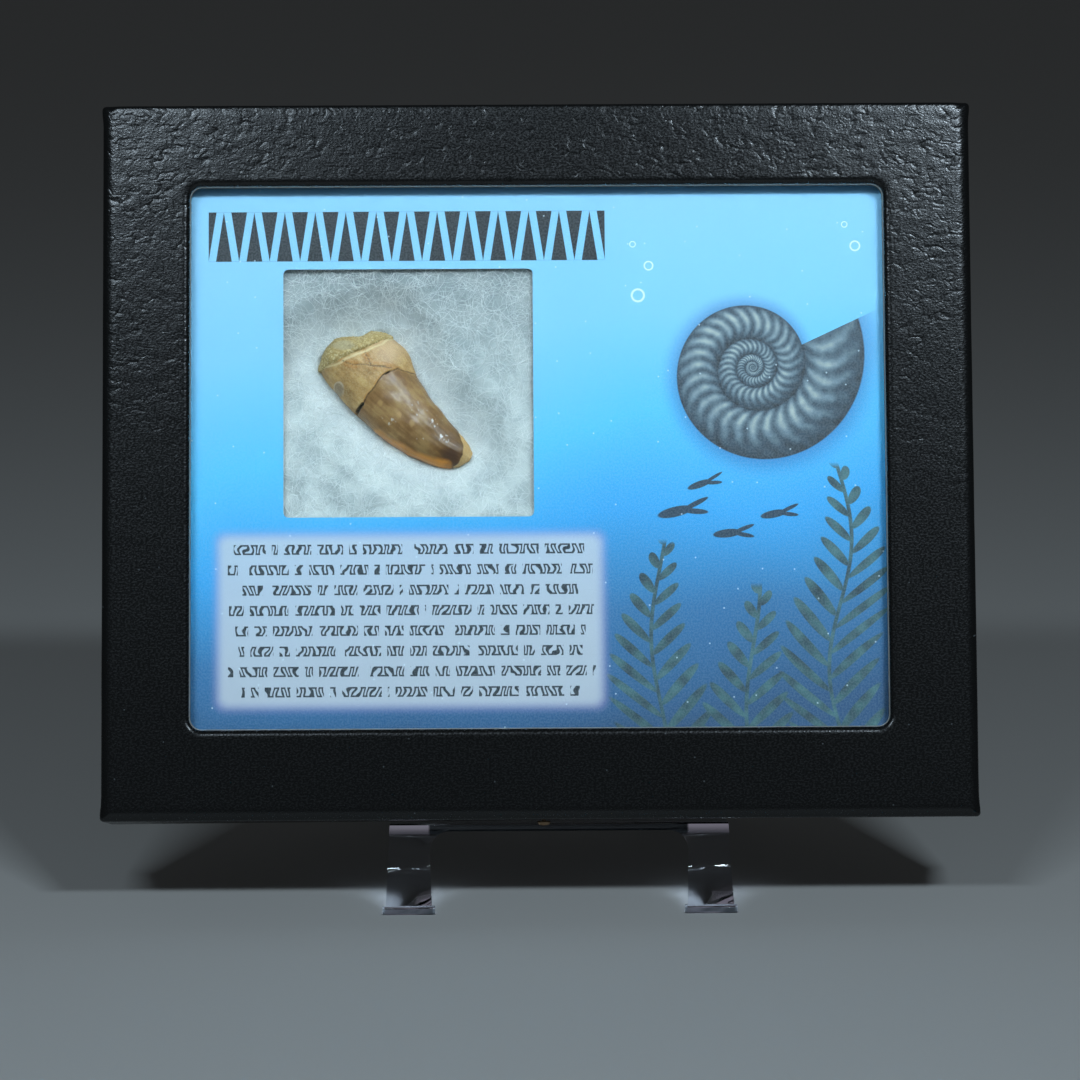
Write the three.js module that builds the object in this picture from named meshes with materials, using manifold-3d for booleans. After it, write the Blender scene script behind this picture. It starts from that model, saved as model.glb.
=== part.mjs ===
// A fossil mosasaur tooth on white fibre fill, behind the glass of a flat specimen case
// that leans back on a clear easel. Millimetres, +Z up, the front faces -Y.
// The origin is the middle of the standing model's footprint, on the table.

import * as THREE from "three";
import { mergeVertices } from "three/addons/utils/BufferGeometryUtils.js";
import Module from "manifold-3d";

const wasm = await Module();
wasm.setup();

// ---- driving dimensions ------------------------------------------------------------

const LEAN = THREE.MathUtils.degToRad(15.5); // how far the case leans back
const CLEARANCE = 0.3; // between neighbouring pieces

const CASE_WIDTH = 158.75;
const CASE_HEIGHT = 131;
const CASE_DEPTH = 19.05;
const CASE_FRONT_Y = -38.53; // the lower front edge of the leaning case
const CASE_FRONT_Z = 18;
const BOARD = 1.8; // wrapped paperboard
const CORNER_RADIUS = 0.4;
const EDGE_ROUNDING = 1;
const LID_DEPTH = 18.4;
const SKIRT_RISE = 0.8; // the lower skirt pulls up towards its right rear corner
const TRAY_BOARD = 1.6;

const WINDOW_WIDTH = 127.1;
const WINDOW_HEIGHT = 99.7;
const WINDOW_RADIUS = 2.3;
const WINDOW_CENTRE_UP = 66.2; // above the case's lower edge

const GLASS_THICKNESS = 2;
const CARD_THICKNESS = 0.4;
const CUTOUT_SIZE = 45.8;
const CUTOUT_RADIUS = 1;
const CUTOUT_CENTRE = new THREE.Vector2(-23.7, 78.2);

const PIN_X = 0.7;
const PIN_DEPTH = 9.5; // behind the front face
const PIN_HEAD_RADIUS = 1.25;
const PIN_HEAD_HEIGHT = 0.9;
const PIN_SHANK_RADIUS = 0.35;

const SHEET = 1.5; // the easel's clear sheet
const EASEL_CENTRE_X = 3.5;
const LEG_SPACING = 54.9;
const LEG_TOP_WIDTH = 7.3;
const LEG_FOOT_WIDTH = 8.9;
const TOE_WIDTH = 9.5;
const TOE_HEIGHT = 1.3;
const TOE_LENGTH = 1.8;
const TOE_REACH = 0.85; // the toes' front behind the case's lower front edge
const LEDGE_START = 12; // behind the front face
const LEG_DROP = 8.6; // from the ledge to the knee
const BACKREST_HEIGHT = 76;
const REAR_REACH = 76; // from the case's lower front edge to the rear feet
const ARCH_RADIUS = 3.7;
const REAR_ARCH_WIDTH = 36;
const REAR_ARCH_HEIGHT = 46;

// Both sides of the tooth from the broken base to the tip, across the case and up it.
const TOOTH_LOWER_SIDE = [
  [-40.1, 83.0], [-37.7, 79.5], [-34.8, 76.2], [-32.0, 73.5], [-28.4, 70.2],
  [-24.6, 67.7], [-20.6, 65.7], [-17.2, 64.7], [-14.6, 64.7], [-12.8, 65.7],
];
const TOOTH_UPPER_SIDE = [
  [-26.7, 89.1], [-24.0, 86.6], [-22.8, 83.3], [-21.2, 80.4], [-19.3, 77.4],
  [-17.2, 74.7], [-15.2, 72.3], [-13.6, 70.6], [-12.5, 69.1], [-12.0, 67.8],
];
const TOOTH_TIP = [-12.1, 66.7];
const TOOTH_BASE_DEPTH = 10.9; // the middle of the tooth behind the front face
const TOOTH_TIP_DEPTH = 8.9;
const TOOTH_FLATNESS = 0.76; // thickness against width
const TOOTH_ROUGHNESS = 0.12;
const TOOTH_RINGS = 26;
const TOOTH_SIDES = 30;

// The sediment's height above the broken base, along the base from end to end.
const SEDIMENT_HEIGHTS = [1.7, 2.9, 3.7, 4.1, 3.7, 3.0, 2.5, 2.7, 2.5, 1.4];
const SEDIMENT_OVERHANG = 1.05; // its outline against the tooth's
const SEDIMENT_ROUGHNESS = 0.32;
const SEDIMENT_RINGS = 8;

const HOLLOW_MARGIN = 0.5; // between the fill and the tooth in it
const DIP_MARGIN = 2.2; // how far the fill dips around the tooth

// ---- solids ------------------------------------------------------------------------

function toManifold(geometry) {
  const bare = geometry.clone();
  bare.deleteAttribute("normal");
  bare.deleteAttribute("uv");
  const merged = mergeVertices(bare, 1e-5);
  return new wasm.Manifold(new wasm.Mesh({
    numProp: 3,
    vertProperties: new Float32Array(merged.attributes.position.array),
    triVerts: new Uint32Array(merged.index.array),
  }));
}

function toGeometry(solid) {
  const mesh = solid.getMesh();
  const geometry = new THREE.BufferGeometry();
  geometry.setAttribute("position", new THREE.BufferAttribute(mesh.vertProperties, 3));
  geometry.setIndex(new THREE.BufferAttribute(mesh.triVerts, 1));
  geometry.computeVertexNormals();
  return geometry;
}

function roundedRectangle(width, height, radius, centreX = 0, centreY = 0) {
  const shape = new THREE.Shape();
  const right = centreX + width / 2;
  const left = centreX - width / 2;
  const top = centreY + height / 2;
  const bottom = centreY - height / 2;
  shape.moveTo(left + radius, bottom);
  shape.lineTo(right - radius, bottom);
  shape.absarc(right - radius, bottom + radius, radius, -Math.PI / 2, 0);
  shape.lineTo(right, top - radius);
  shape.absarc(right - radius, top - radius, radius, 0, Math.PI / 2);
  shape.lineTo(left + radius, top);
  shape.absarc(left + radius, top - radius, radius, Math.PI / 2, Math.PI);
  shape.lineTo(left, bottom + radius);
  shape.absarc(left + radius, bottom + radius, radius, Math.PI, Math.PI * 1.5);
  return shape;
}

// A flat plate in the case's frame, between two depths behind the front face.
function plate(shape, frontDepth, backDepth, curveSegments = 5) {
  const geometry = new THREE.ExtrudeGeometry(shape, {
    depth: backDepth - frontDepth,
    bevelEnabled: false,
    curveSegments,
  });
  geometry.translate(0, 0, -backDepth);
  return geometry;
}

function caseRectangle(inset, radius = CORNER_RADIUS) {
  const width = CASE_WIDTH - 2 * inset;
  const height = CASE_HEIGHT - 2 * inset;
  return roundedRectangle(width, height, radius, 0, CASE_HEIGHT / 2);
}

// A closed body through rings of equal length, with a point at each end.
function closedLoft(rings, startPoint, endPoint) {
  const sides = rings[0].length;
  const points = [startPoint, ...rings.flat(), endPoint];
  const last = points.length - 1;
  const index = [];
  for (let side = 0; side < sides; side += 1) {
    const next = (side + 1) % sides;
    index.push(0, 1 + next, 1 + side);
    for (let ring = 0; ring < rings.length - 1; ring += 1) {
      const near = 1 + ring * sides;
      const far = near + sides;
      index.push(near + side, near + next, far + next);
      index.push(near + side, far + next, far + side);
    }
    const end = 1 + (rings.length - 1) * sides;
    index.push(end + side, end + next, last);
  }
  const geometry = new THREE.BufferGeometry().setFromPoints(points);
  geometry.setIndex(index);
  geometry.computeVertexNormals();
  return geometry;
}

// Smooth, repeatable unevenness between -1 and 1.
function unevenness(point, wavelength) {
  const step = (2 * Math.PI) / wavelength;
  const first = Math.sin(point.x * step + 1.3 * Math.sin(point.y * step * 0.7));
  const second = Math.sin(point.y * step * 1.2 + 1.1 * Math.sin(point.z * step));
  const third = Math.sin(point.z * step * 1.1 + 1.7 * Math.sin(point.x * step * 0.8));
  return (first + second + third) / 3;
}

// ---- the tooth and the sediment in its broken base -----------------------------------

function sideCurve(points) {
  return new THREE.CatmullRomCurve3(points.map(([x, y]) => new THREE.Vector3(x, y, 0)));
}

function toothRing(along, margin) {
  const lower = sideCurve(TOOTH_LOWER_SIDE).getPoint(along);
  const upper = sideCurve(TOOTH_UPPER_SIDE).getPoint(along);
  const middle = lower.clone().lerp(upper, 0.5);
  const across = upper.clone().sub(lower).multiplyScalar(0.5);
  const halfWidth = across.length() + margin;
  across.normalize();
  const halfDepth = (halfWidth - margin) * TOOTH_FLATNESS + margin;
  middle.z = -THREE.MathUtils.lerp(TOOTH_BASE_DEPTH, TOOTH_TIP_DEPTH, along);
  const ring = [];
  for (let side = 0; side < TOOTH_SIDES; side += 1) {
    const turn = (side / TOOTH_SIDES) * 2 * Math.PI;
    const point = middle.clone().addScaledVector(across, Math.cos(turn) * halfWidth);
    point.z += Math.sin(turn) * halfDepth;
    const swell = 1 + (TOOTH_ROUGHNESS / halfWidth) * unevenness(point, 5);
    point.sub(middle).multiplyScalar(swell).add(middle);
    ring.push(point);
  }
  return ring;
}

function ringCentre(ring) {
  const sum = ring.reduce((total, point) => total.add(point), new THREE.Vector3());
  return sum.divideScalar(ring.length);
}

function toothSolid(margin = 0) {
  const rings = [];
  for (let ring = 0; ring < TOOTH_RINGS; ring += 1) {
    rings.push(toothRing(ring / (TOOTH_RINGS - 1), margin));
  }
  const tip = new THREE.Vector3(...TOOTH_TIP, -TOOTH_TIP_DEPTH);
  const beyond = tip.clone().sub(ringCentre(rings[TOOTH_RINGS - 1])).setLength(margin);
  return closedLoft(rings, ringCentre(rings[0]), tip.add(beyond));
}

// A lumpy dome on the tooth's broken base, grown by the margin for its hollow in the fill.
function sedimentSolid(margin = 0) {
  const base = toothRing(0, 0).reverse(); // the sediment grows the other way
  const centre = ringCentre(base);
  const lower = new THREE.Vector3(...TOOTH_LOWER_SIDE[0], centre.z);
  const upper = new THREE.Vector3(...TOOTH_UPPER_SIDE[0], centre.z);
  const along = upper.clone().sub(lower);
  const width = along.length();
  along.normalize();
  const outward = new THREE.Vector3(-along.y, along.x, 0);
  const growth = SEDIMENT_OVERHANG + (2 * margin) / width;
  const lift = CLEARANCE - 2 * margin;
  const rings = [];
  for (let ring = 0; ring <= SEDIMENT_RINGS; ring += 1) {
    const climb = ring / (SEDIMENT_RINGS + 1);
    const spread = Math.cos(climb * Math.PI * 0.5) ** 0.55;
    rings.push(base.map((edge) => {
      const point = centre.clone().addScaledVector(edge.clone().sub(centre), growth * spread);
      const place = point.clone().sub(lower).dot(along) / width;
      const step = THREE.MathUtils.clamp(place, 0, 1) * (SEDIMENT_HEIGHTS.length - 1);
      const first = Math.min(Math.floor(step), SEDIMENT_HEIGHTS.length - 2);
      const height = THREE.MathUtils.lerp(
        SEDIMENT_HEIGHTS[first], SEDIMENT_HEIGHTS[first + 1], step - first,
      );
      const rise = Math.sin(climb * Math.PI * 0.5) * (height + 4 * margin);
      const lump = ring === 0 ? 0 : SEDIMENT_ROUGHNESS * unevenness(point, 2.6);
      return point.addScaledVector(outward, lift + rise + lump);
    }));
  }
  const top = ringCentre(rings[SEDIMENT_RINGS]).addScaledVector(outward, SEDIMENT_ROUGHNESS);
  const floor = centre.clone().addScaledVector(outward, lift);
  return closedLoft(rings, floor, top);
}

// ---- the specimen case, in a frame with X across, Y up the face and Z out of it ------

const TRAY_INSET = BOARD + CLEARANCE;
const GLASS_FRONT = BOARD + CLEARANCE;
const GLASS_BACK = GLASS_FRONT + GLASS_THICKNESS;
const CARD_FRONT = GLASS_BACK + CLEARANCE;
const CARD_BACK = CARD_FRONT + CARD_THICKNESS;
const FILL_FRONT = CARD_BACK + CLEARANCE;
const TRAY_FLOOR = CASE_DEPTH - TRAY_BOARD;
const FILL_INSET = TRAY_INSET + TRAY_BOARD + CLEARANCE;

// The hole that the closing pin takes through a lower wall.
function pinHole() {
  const reach = 4 * BOARD;
  const geometry = new THREE.CylinderGeometry(
    PIN_SHANK_RADIUS + CLEARANCE, PIN_SHANK_RADIUS + CLEARANCE, reach, 12,
  );
  geometry.translate(PIN_X, 0, -PIN_DEPTH);
  return toManifold(geometry);
}

function caseLid() {
  const box = new THREE.ExtrudeGeometry(caseRectangle(EDGE_ROUNDING), {
    depth: LID_DEPTH - 2 * EDGE_ROUNDING,
    bevelThickness: EDGE_ROUNDING,
    bevelSize: EDGE_ROUNDING,
    bevelSegments: 4,
    curveSegments: 4,
  });
  box.translate(0, 0, EDGE_ROUNDING - LID_DEPTH);
  const corners = box.attributes.position;
  for (let index = 0; index < corners.count; index += 1) {
    if (corners.getY(index) < BOARD) {
      const right = corners.getX(index) / CASE_WIDTH + 0.5;
      const rear = -corners.getZ(index) / LID_DEPTH;
      corners.setY(index, corners.getY(index) + SKIRT_RISE * right * rear);
    }
  }
  const hollow = plate(caseRectangle(BOARD), BOARD, LID_DEPTH + 1);
  const opening = roundedRectangle(
    WINDOW_WIDTH, WINDOW_HEIGHT, WINDOW_RADIUS, 0, WINDOW_CENTRE_UP,
  );
  return toGeometry(toManifold(box)
    .subtract(toManifold(hollow))
    .subtract(toManifold(plate(opening, -1, BOARD + 1)))
    .subtract(pinHole()));
}

function glassPane() {
  return plate(caseRectangle(TRAY_INSET), GLASS_FRONT, GLASS_BACK);
}

function printedCard() {
  const shape = caseRectangle(FILL_INSET);
  const cutout = roundedRectangle(
    CUTOUT_SIZE, CUTOUT_SIZE, CUTOUT_RADIUS, CUTOUT_CENTRE.x, CUTOUT_CENTRE.y,
  );
  shape.holes.push(cutout);
  return plate(shape, CARD_FRONT, CARD_BACK);
}

// The fill is hollowed for the tooth and dips around it, where the tooth presses in.
function fibreFill() {
  const block = plate(caseRectangle(FILL_INSET), FILL_FRONT, TRAY_FLOOR - CLEARANCE);
  const hollows = [toothSolid, sedimentSolid].flatMap((solid) => {
    const dip = solid(DIP_MARGIN);
    dip.translate(0, 0, TOOTH_BASE_DEPTH - FILL_FRONT);
    return [toManifold(solid(HOLLOW_MARGIN)), toManifold(dip)];
  });
  return toGeometry(hollows.reduce((fill, hollow) => fill.subtract(hollow), toManifold(block)));
}

function caseTray() {
  const box = plate(caseRectangle(TRAY_INSET), CARD_FRONT, CASE_DEPTH);
  const hollow = plate(caseRectangle(TRAY_INSET + TRAY_BOARD), 0, TRAY_FLOOR);
  return toGeometry(toManifold(box).subtract(toManifold(hollow)).subtract(pinHole()));
}

// A domed head under the lower wall, and a shank through both walls.
function closingPin() {
  const shankTop = FILL_INSET - 2 * CLEARANCE;
  const profile = [
    new THREE.Vector2(0, -CLEARANCE - PIN_HEAD_HEIGHT),
    new THREE.Vector2(PIN_HEAD_RADIUS * 0.7, -CLEARANCE - PIN_HEAD_HEIGHT * 0.8),
    new THREE.Vector2(PIN_HEAD_RADIUS, -CLEARANCE - PIN_HEAD_HEIGHT * 0.3),
    new THREE.Vector2(PIN_HEAD_RADIUS * 0.95, -CLEARANCE),
    new THREE.Vector2(PIN_SHANK_RADIUS, -CLEARANCE),
    new THREE.Vector2(PIN_SHANK_RADIUS, shankTop),
    new THREE.Vector2(0, shankTop),
  ];
  const geometry = new THREE.LatheGeometry(profile, 16);
  geometry.translate(PIN_X, SKIRT_RISE / 4, -PIN_DEPTH);
  return toGeometry(toManifold(geometry));
}

// ---- the easel, one bent sheet --------------------------------------------------------

// The case's frame in the easel's side view: depth behind the face and height up it.
function sideView(depth, up) {
  return new THREE.Vector2(
    CASE_FRONT_Y + depth * Math.cos(LEAN) + up * Math.sin(LEAN),
    CASE_FRONT_Z - depth * Math.sin(LEAN) + up * Math.cos(LEAN),
  );
}

// The points of a bent line, each inner corner replaced by an arc of its own radius.
function bentLine(corners, radii, arcSteps = 6) {
  const points = [corners[0]];
  for (let bend = 1; bend < corners.length - 1; bend += 1) {
    const corner = corners[bend];
    const before = corners[bend - 1].clone().sub(corner).normalize();
    const after = corners[bend + 1].clone().sub(corner).normalize();
    const half = Math.acos(before.dot(after)) / 2;
    const radius = radii[bend - 1];
    const bisector = before.clone().add(after).normalize();
    const centre = corner.clone().addScaledVector(bisector, radius / Math.sin(half));
    const start = corner.clone().addScaledVector(before, radius / Math.tan(half)).sub(centre);
    const end = corner.clone().addScaledVector(after, radius / Math.tan(half)).sub(centre);
    const turn = Math.atan2(start.cross(end), start.dot(end));
    for (let step = 0; step <= arcSteps; step += 1) {
      const origin = new THREE.Vector2();
      const spoke = start.clone().rotateAround(origin, (turn * step) / arcSteps);
      points.push(centre.clone().add(spoke));
    }
  }
  points.push(corners[corners.length - 1]);
  return points;
}

// The outline of a sheet whose middle follows the line.
function sheetOutline(line, thickness) {
  const sideOf = (direction) => line.map((point, index) => {
    const before = line[Math.max(index - 1, 0)];
    const after = line[Math.min(index + 1, line.length - 1)];
    const along = after.clone().sub(before).normalize();
    const across = new THREE.Vector2(-along.y, along.x);
    return point.clone().addScaledVector(across, (direction * thickness) / 2);
  });
  return new THREE.Shape([...sideOf(1), ...sideOf(-1).reverse()]);
}

// Extrudes an outline drawn in the side view (Y, Z) along X, centred on the easel.
function acrossEasel(shape, width, centreX = EASEL_CENTRE_X) {
  const geometry = new THREE.ExtrudeGeometry(shape, { depth: width, bevelEnabled: false });
  geometry.translate(0, 0, -width / 2);
  const sideToWorld = new THREE.Matrix4().makeBasis(
    new THREE.Vector3(0, 1, 0), new THREE.Vector3(0, 0, 1), new THREE.Vector3(1, 0, 0),
  );
  geometry.applyMatrix4(sideToWorld);
  geometry.translate(centreX, 0, 0);
  return toManifold(geometry);
}

// Extrudes an outline drawn on the case's face (X, up) through a range of depths.
function throughFace(shape, frontDepth, backDepth) {
  const geometry = plate(shape, frontDepth, backDepth);
  geometry.applyMatrix4(caseMatrix());
  return toManifold(geometry);
}

function caseMatrix() {
  const placement = new THREE.Object3D();
  placement.position.set(0, CASE_FRONT_Y, CASE_FRONT_Z);
  placement.rotation.x = Math.PI / 2 - LEAN;
  placement.updateMatrix();
  return placement.matrix;
}

function displayEasel() {
  const seat = -CLEARANCE - SHEET / 2;
  const ledgeFront = LEDGE_START + SHEET / 2;
  const backrest = CASE_DEPTH + CLEARANCE + SHEET / 2;
  const knee = sideView(ledgeFront, -CLEARANCE - LEG_DROP);
  const toeFront = CASE_FRONT_Y + TOE_REACH;
  const toe = new THREE.Vector2(toeFront + 1.5 * SHEET, SHEET / 3);
  const apex = sideView(backrest, BACKREST_HEIGHT);
  const heel = new THREE.Vector2(CASE_FRONT_Y + REAR_REACH, 0);
  const below = (from, to) => to.clone().add(to.clone().sub(from).setLength(2 * SHEET));
  const corners = [
    below(knee, toe), knee, sideView(ledgeFront, seat),
    sideView(backrest, seat), apex, below(apex, heel),
  ];
  const outline = sheetOutline(bentLine(corners, [3.5, 2, 2, 5]), SHEET);

  const outerTop = (LEG_SPACING + LEG_TOP_WIDTH) / 2;
  const outerFoot = (LEG_SPACING + LEG_FOOT_WIDTH) / 2;
  const innerTop = (LEG_SPACING - LEG_TOP_WIDTH) / 2;
  const innerFoot = (LEG_SPACING - LEG_FOOT_WIDTH) / 2;
  const footUp = -(CASE_FRONT_Z + SHEET) / Math.cos(LEAN);
  const archTop = -CLEARANCE - SHEET;
  const middle = EASEL_CENTRE_X;

  const silhouette = new THREE.Shape([
    new THREE.Vector2(middle - outerTop, BACKREST_HEIGHT * 2),
    new THREE.Vector2(middle - outerTop, 0),
    new THREE.Vector2(middle - outerFoot, footUp),
    new THREE.Vector2(middle + outerFoot, footUp),
    new THREE.Vector2(middle + outerTop, 0),
    new THREE.Vector2(middle + outerTop, BACKREST_HEIGHT * 2),
  ]);

  const arch = new THREE.Shape();
  arch.moveTo(middle - innerFoot, footUp - SHEET);
  arch.lineTo(middle + innerFoot, footUp - SHEET);
  arch.lineTo(middle + innerTop, archTop - ARCH_RADIUS);
  arch.absarc(middle + innerTop - ARCH_RADIUS, archTop - ARCH_RADIUS, ARCH_RADIUS, 0, Math.PI / 2);
  arch.lineTo(middle - innerTop + ARCH_RADIUS, archTop);
  arch.absarc(
    middle - innerTop + ARCH_RADIUS, archTop - ARCH_RADIUS, ARCH_RADIUS, Math.PI / 2, Math.PI,
  );

  const rearArch = roundedRectangle(
    REAR_ARCH_WIDTH, 2 * REAR_ARCH_HEIGHT, 4 * ARCH_RADIUS, middle, 0,
  );
  const rearCut = new THREE.ExtrudeGeometry(rearArch, {
    depth: REAR_REACH, bevelEnabled: false, curveSegments: 8,
  });
  rearCut.rotateX(Math.PI / 2);
  rearCut.translate(0, CASE_FRONT_Y + REAR_REACH * 1.55, 0);

  const toeSide = roundedRectangle(
    TOE_LENGTH, TOE_HEIGHT, 0.3, toeFront + TOE_LENGTH / 2, TOE_HEIGHT / 2,
  );
  const toes = [-1, 1].map((side) => (
    acrossEasel(toeSide, TOE_WIDTH, middle + (side * LEG_SPACING) / 2)
  ));

  const underside = CASE_FRONT_Z;
  const table = new THREE.BoxGeometry(CASE_WIDTH, 4 * REAR_REACH, underside);
  table.translate(0, 0, -underside / 2);

  const bent = acrossEasel(outline, 2 * outerFoot)
    .intersect(throughFace(silhouette, -REAR_REACH, 2 * REAR_REACH))
    .subtract(throughFace(arch, -REAR_REACH, LEDGE_START + SHEET + ARCH_RADIUS))
    .subtract(toManifold(rearCut));
  return toGeometry(toes.reduce((solid, toeBar) => solid.add(toeBar), bent)
    .subtract(toManifold(table)));
}

// ---- assembly ----------------------------------------------------------------------

function piece(name, geometry, color, roughness, metalness = 0) {
  const material = new THREE.MeshStandardMaterial({ color, roughness, metalness });
  const mesh = new THREE.Mesh(geometry, material);
  mesh.name = name;
  return mesh;
}

function clearPiece(name, geometry, color, roughness) {
  const mesh = piece(name, geometry, color, roughness);
  mesh.material.transparent = true;
  mesh.material.opacity = 0.35;
  return mesh;
}

const specimenCase = new THREE.Group();
specimenCase.applyMatrix4(caseMatrix());
specimenCase.add(
  piece("case_lid", caseLid(), 0x1d2022, 0.45),
  clearPiece("glass_pane", glassPane(), 0xe8f2f2, 0.03),
  piece("printed_card", printedCard(), 0x58b8ea, 0.4),
  piece("fibre_fill", fibreFill(), 0xd5e2e4, 1),
  piece("mosasaur_tooth", toothSolid(), 0x7d6743, 0.35),
  piece("sediment_cap", sedimentSolid(), 0x9c9468, 0.95),
  piece("case_tray", caseTray(), 0x17181a, 0.6),
  piece("closing_pin", closingPin(), 0x8a7a58, 0.3, 1),
);

const group = new THREE.Group();
group.add(
  specimenCase,
  clearPiece("display_easel", displayEasel(), 0xdfe9ee, 0.06),
);

export default group;
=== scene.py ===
import math
from itertools import product

import bmesh
import bpy
import numpy as np
from mathutils import Matrix, Vector
from mathutils.kdtree import KDTree


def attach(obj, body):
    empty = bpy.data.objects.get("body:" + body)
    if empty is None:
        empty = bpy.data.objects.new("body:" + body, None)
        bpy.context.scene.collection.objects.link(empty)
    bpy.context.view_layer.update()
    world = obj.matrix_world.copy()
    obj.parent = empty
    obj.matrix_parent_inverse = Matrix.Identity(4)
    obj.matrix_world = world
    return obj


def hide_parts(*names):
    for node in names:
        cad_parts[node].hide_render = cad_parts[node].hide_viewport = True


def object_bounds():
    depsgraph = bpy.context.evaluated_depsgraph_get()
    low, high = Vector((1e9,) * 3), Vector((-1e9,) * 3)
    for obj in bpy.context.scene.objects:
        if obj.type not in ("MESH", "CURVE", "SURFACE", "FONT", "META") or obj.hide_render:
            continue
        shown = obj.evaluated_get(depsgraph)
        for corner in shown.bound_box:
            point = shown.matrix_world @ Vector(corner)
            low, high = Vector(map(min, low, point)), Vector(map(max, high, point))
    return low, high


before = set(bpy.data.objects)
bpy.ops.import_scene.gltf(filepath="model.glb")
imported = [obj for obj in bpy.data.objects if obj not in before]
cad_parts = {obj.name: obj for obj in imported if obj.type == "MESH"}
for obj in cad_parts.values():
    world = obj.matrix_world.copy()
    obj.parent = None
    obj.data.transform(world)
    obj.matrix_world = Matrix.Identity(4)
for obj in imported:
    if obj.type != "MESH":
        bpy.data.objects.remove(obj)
cad_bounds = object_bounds()

# ---- sizes and places, in millimetres ---------------------------------------------
# The case has its own frame: across, up the face from its lower edge, and out of the
# face. A depth is measured behind the face.

MM = 0.001
LEAN = math.radians(15.5)  # how far the case leans back
CASE_EDGE = Vector((0.0, -38.53, 18.0)) * MM  # the middle of its lower front edge
CASE_TURN = (math.pi / 2 - LEAN, 0.0, 0.0)
CASE_PLACE = Matrix.Translation(CASE_EDGE) @ Matrix.Rotation(CASE_TURN[0], 4, "X")

CASE_WIDTH = (cad_bounds[1].x - cad_bounds[0].x) / MM
CASE_HEIGHT = 131.0
BOARD = 1.8
LID_DEPTH = 18.4
SKIRT_RISE = 0.8  # the lower skirt pulls up towards its right rear corner
WINDOW_SIZE = (127.1, 99.7)
WINDOW_RADIUS = 2.3
WINDOW_UP = 66.2
CARD_FRONT = 4.4
FILL_FRONT = 5.1
FILL_BACK = 17.15
FILL_INSET = 4.0
CUTOUT_CENTRE = (-23.7, 78.2)
CUTOUT_SIZE = 45.8

# Both sides of the tooth from its broken base to its tip, across the case and up it.
TOOTH_LOWER_SIDE = [
    (-40.1, 83.0), (-37.7, 79.5), (-34.8, 76.2), (-32.0, 73.5), (-28.4, 70.2),
    (-24.6, 67.7), (-20.6, 65.7), (-17.2, 64.7), (-14.6, 64.7), (-12.8, 65.7),
]
TOOTH_UPPER_SIDE = [
    (-26.7, 89.1), (-24.0, 86.6), (-22.8, 83.3), (-21.2, 80.4), (-19.3, 77.4),
    (-17.2, 74.7), (-15.2, 72.3), (-13.6, 70.6), (-12.5, 69.1), (-12.0, 67.8),
]
TOOTH_TIP = (-12.1, 66.7)
TOOTH_BASE_DEPTH = 10.9
TOOTH_TIP_DEPTH = 8.9
TOOTH_FLATNESS = 0.76  # thickness against width
SEDIMENT_HEIGHTS = [1.7, 2.9, 3.7, 4.1, 3.7, 3.0, 2.5, 2.7, 2.5, 1.4]

random = np.random.default_rng(66)


# ---- points and meshes -------------------------------------------------------------

def in_case(points):
    """Points in the case's millimetres as points in the row frame's metres."""
    turn = np.array(CASE_PLACE.to_3x3())
    return np.asarray(points, float).reshape(-1, 3) * MM @ turn.T + np.array(CASE_EDGE)


def in_scene(name, data):
    """A new object, in the scene."""
    thing = bpy.data.objects.new(name, data)
    bpy.context.scene.collection.objects.link(thing)
    return thing


def new_piece(name, points, faces, materials, smooth=True, face_materials=None):
    """A mesh from points in metres, riding on the one body."""
    mesh = bpy.data.meshes.new(name)
    mesh.from_pydata(np.asarray(points).tolist(), [], faces)
    for material in materials:
        mesh.materials.append(material)
    if face_materials is not None:
        mesh.polygons.foreach_set("material_index", face_materials)
    mesh.polygons.foreach_set("use_smooth", [smooth] * len(mesh.polygons))
    mesh.update()
    piece = in_scene(name, mesh)
    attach(piece, "root")
    return piece


def paint_mask(piece, name, values):
    """A value at each point of a mesh, for its material."""
    layer = piece.data.attributes.new(name, "FLOAT", "POINT")
    layer.data.foreach_set("value", values)


def grid_faces(rows, columns, wrap_rows=False, wrap_columns=True):
    """Quads between neighbouring rows and columns of a grid of points."""
    row = np.arange(rows if wrap_rows else rows - 1)[:, None]
    column = np.arange(columns if wrap_columns else columns - 1)[None, :]
    next_row, next_column = (row + 1) % rows, (column + 1) % columns
    corners = [(row, column), (row, next_column), (next_row, next_column), (next_row, column)]
    return np.stack([(r * columns + c).ravel() for r, c in corners], axis=1).tolist()


def fan_faces(first, count, centre, flip=False):
    """Triangles from a ring of points to one centre point."""
    ring = [first + step for step in range(count)]
    pairs = zip(ring, ring[1:] + ring[:1])
    return [(b, a, centre) if flip else (a, b, centre) for a, b in pairs]


def grid_normals(grid, wrap_rows=False):
    """Unit normals of a grid of points whose columns go round."""
    round_it = np.roll(grid, -1, axis=1) - np.roll(grid, 1, axis=1)
    if wrap_rows:
        along_it = np.roll(grid, -1, axis=0) - np.roll(grid, 1, axis=0)
    else:
        along_it = np.gradient(grid, axis=0)
    normals = np.cross(round_it, along_it)
    return normals / np.maximum(np.linalg.norm(normals, axis=-1, keepdims=True), 1e-9)


def smooth_step(low, high, value):
    """From 0 at the low value to 1 at the high one, easing at both ends."""
    share = np.clip((value - low) / (high - low), 0.0, 1.0)
    return share * share * (3 - 2 * share)


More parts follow.
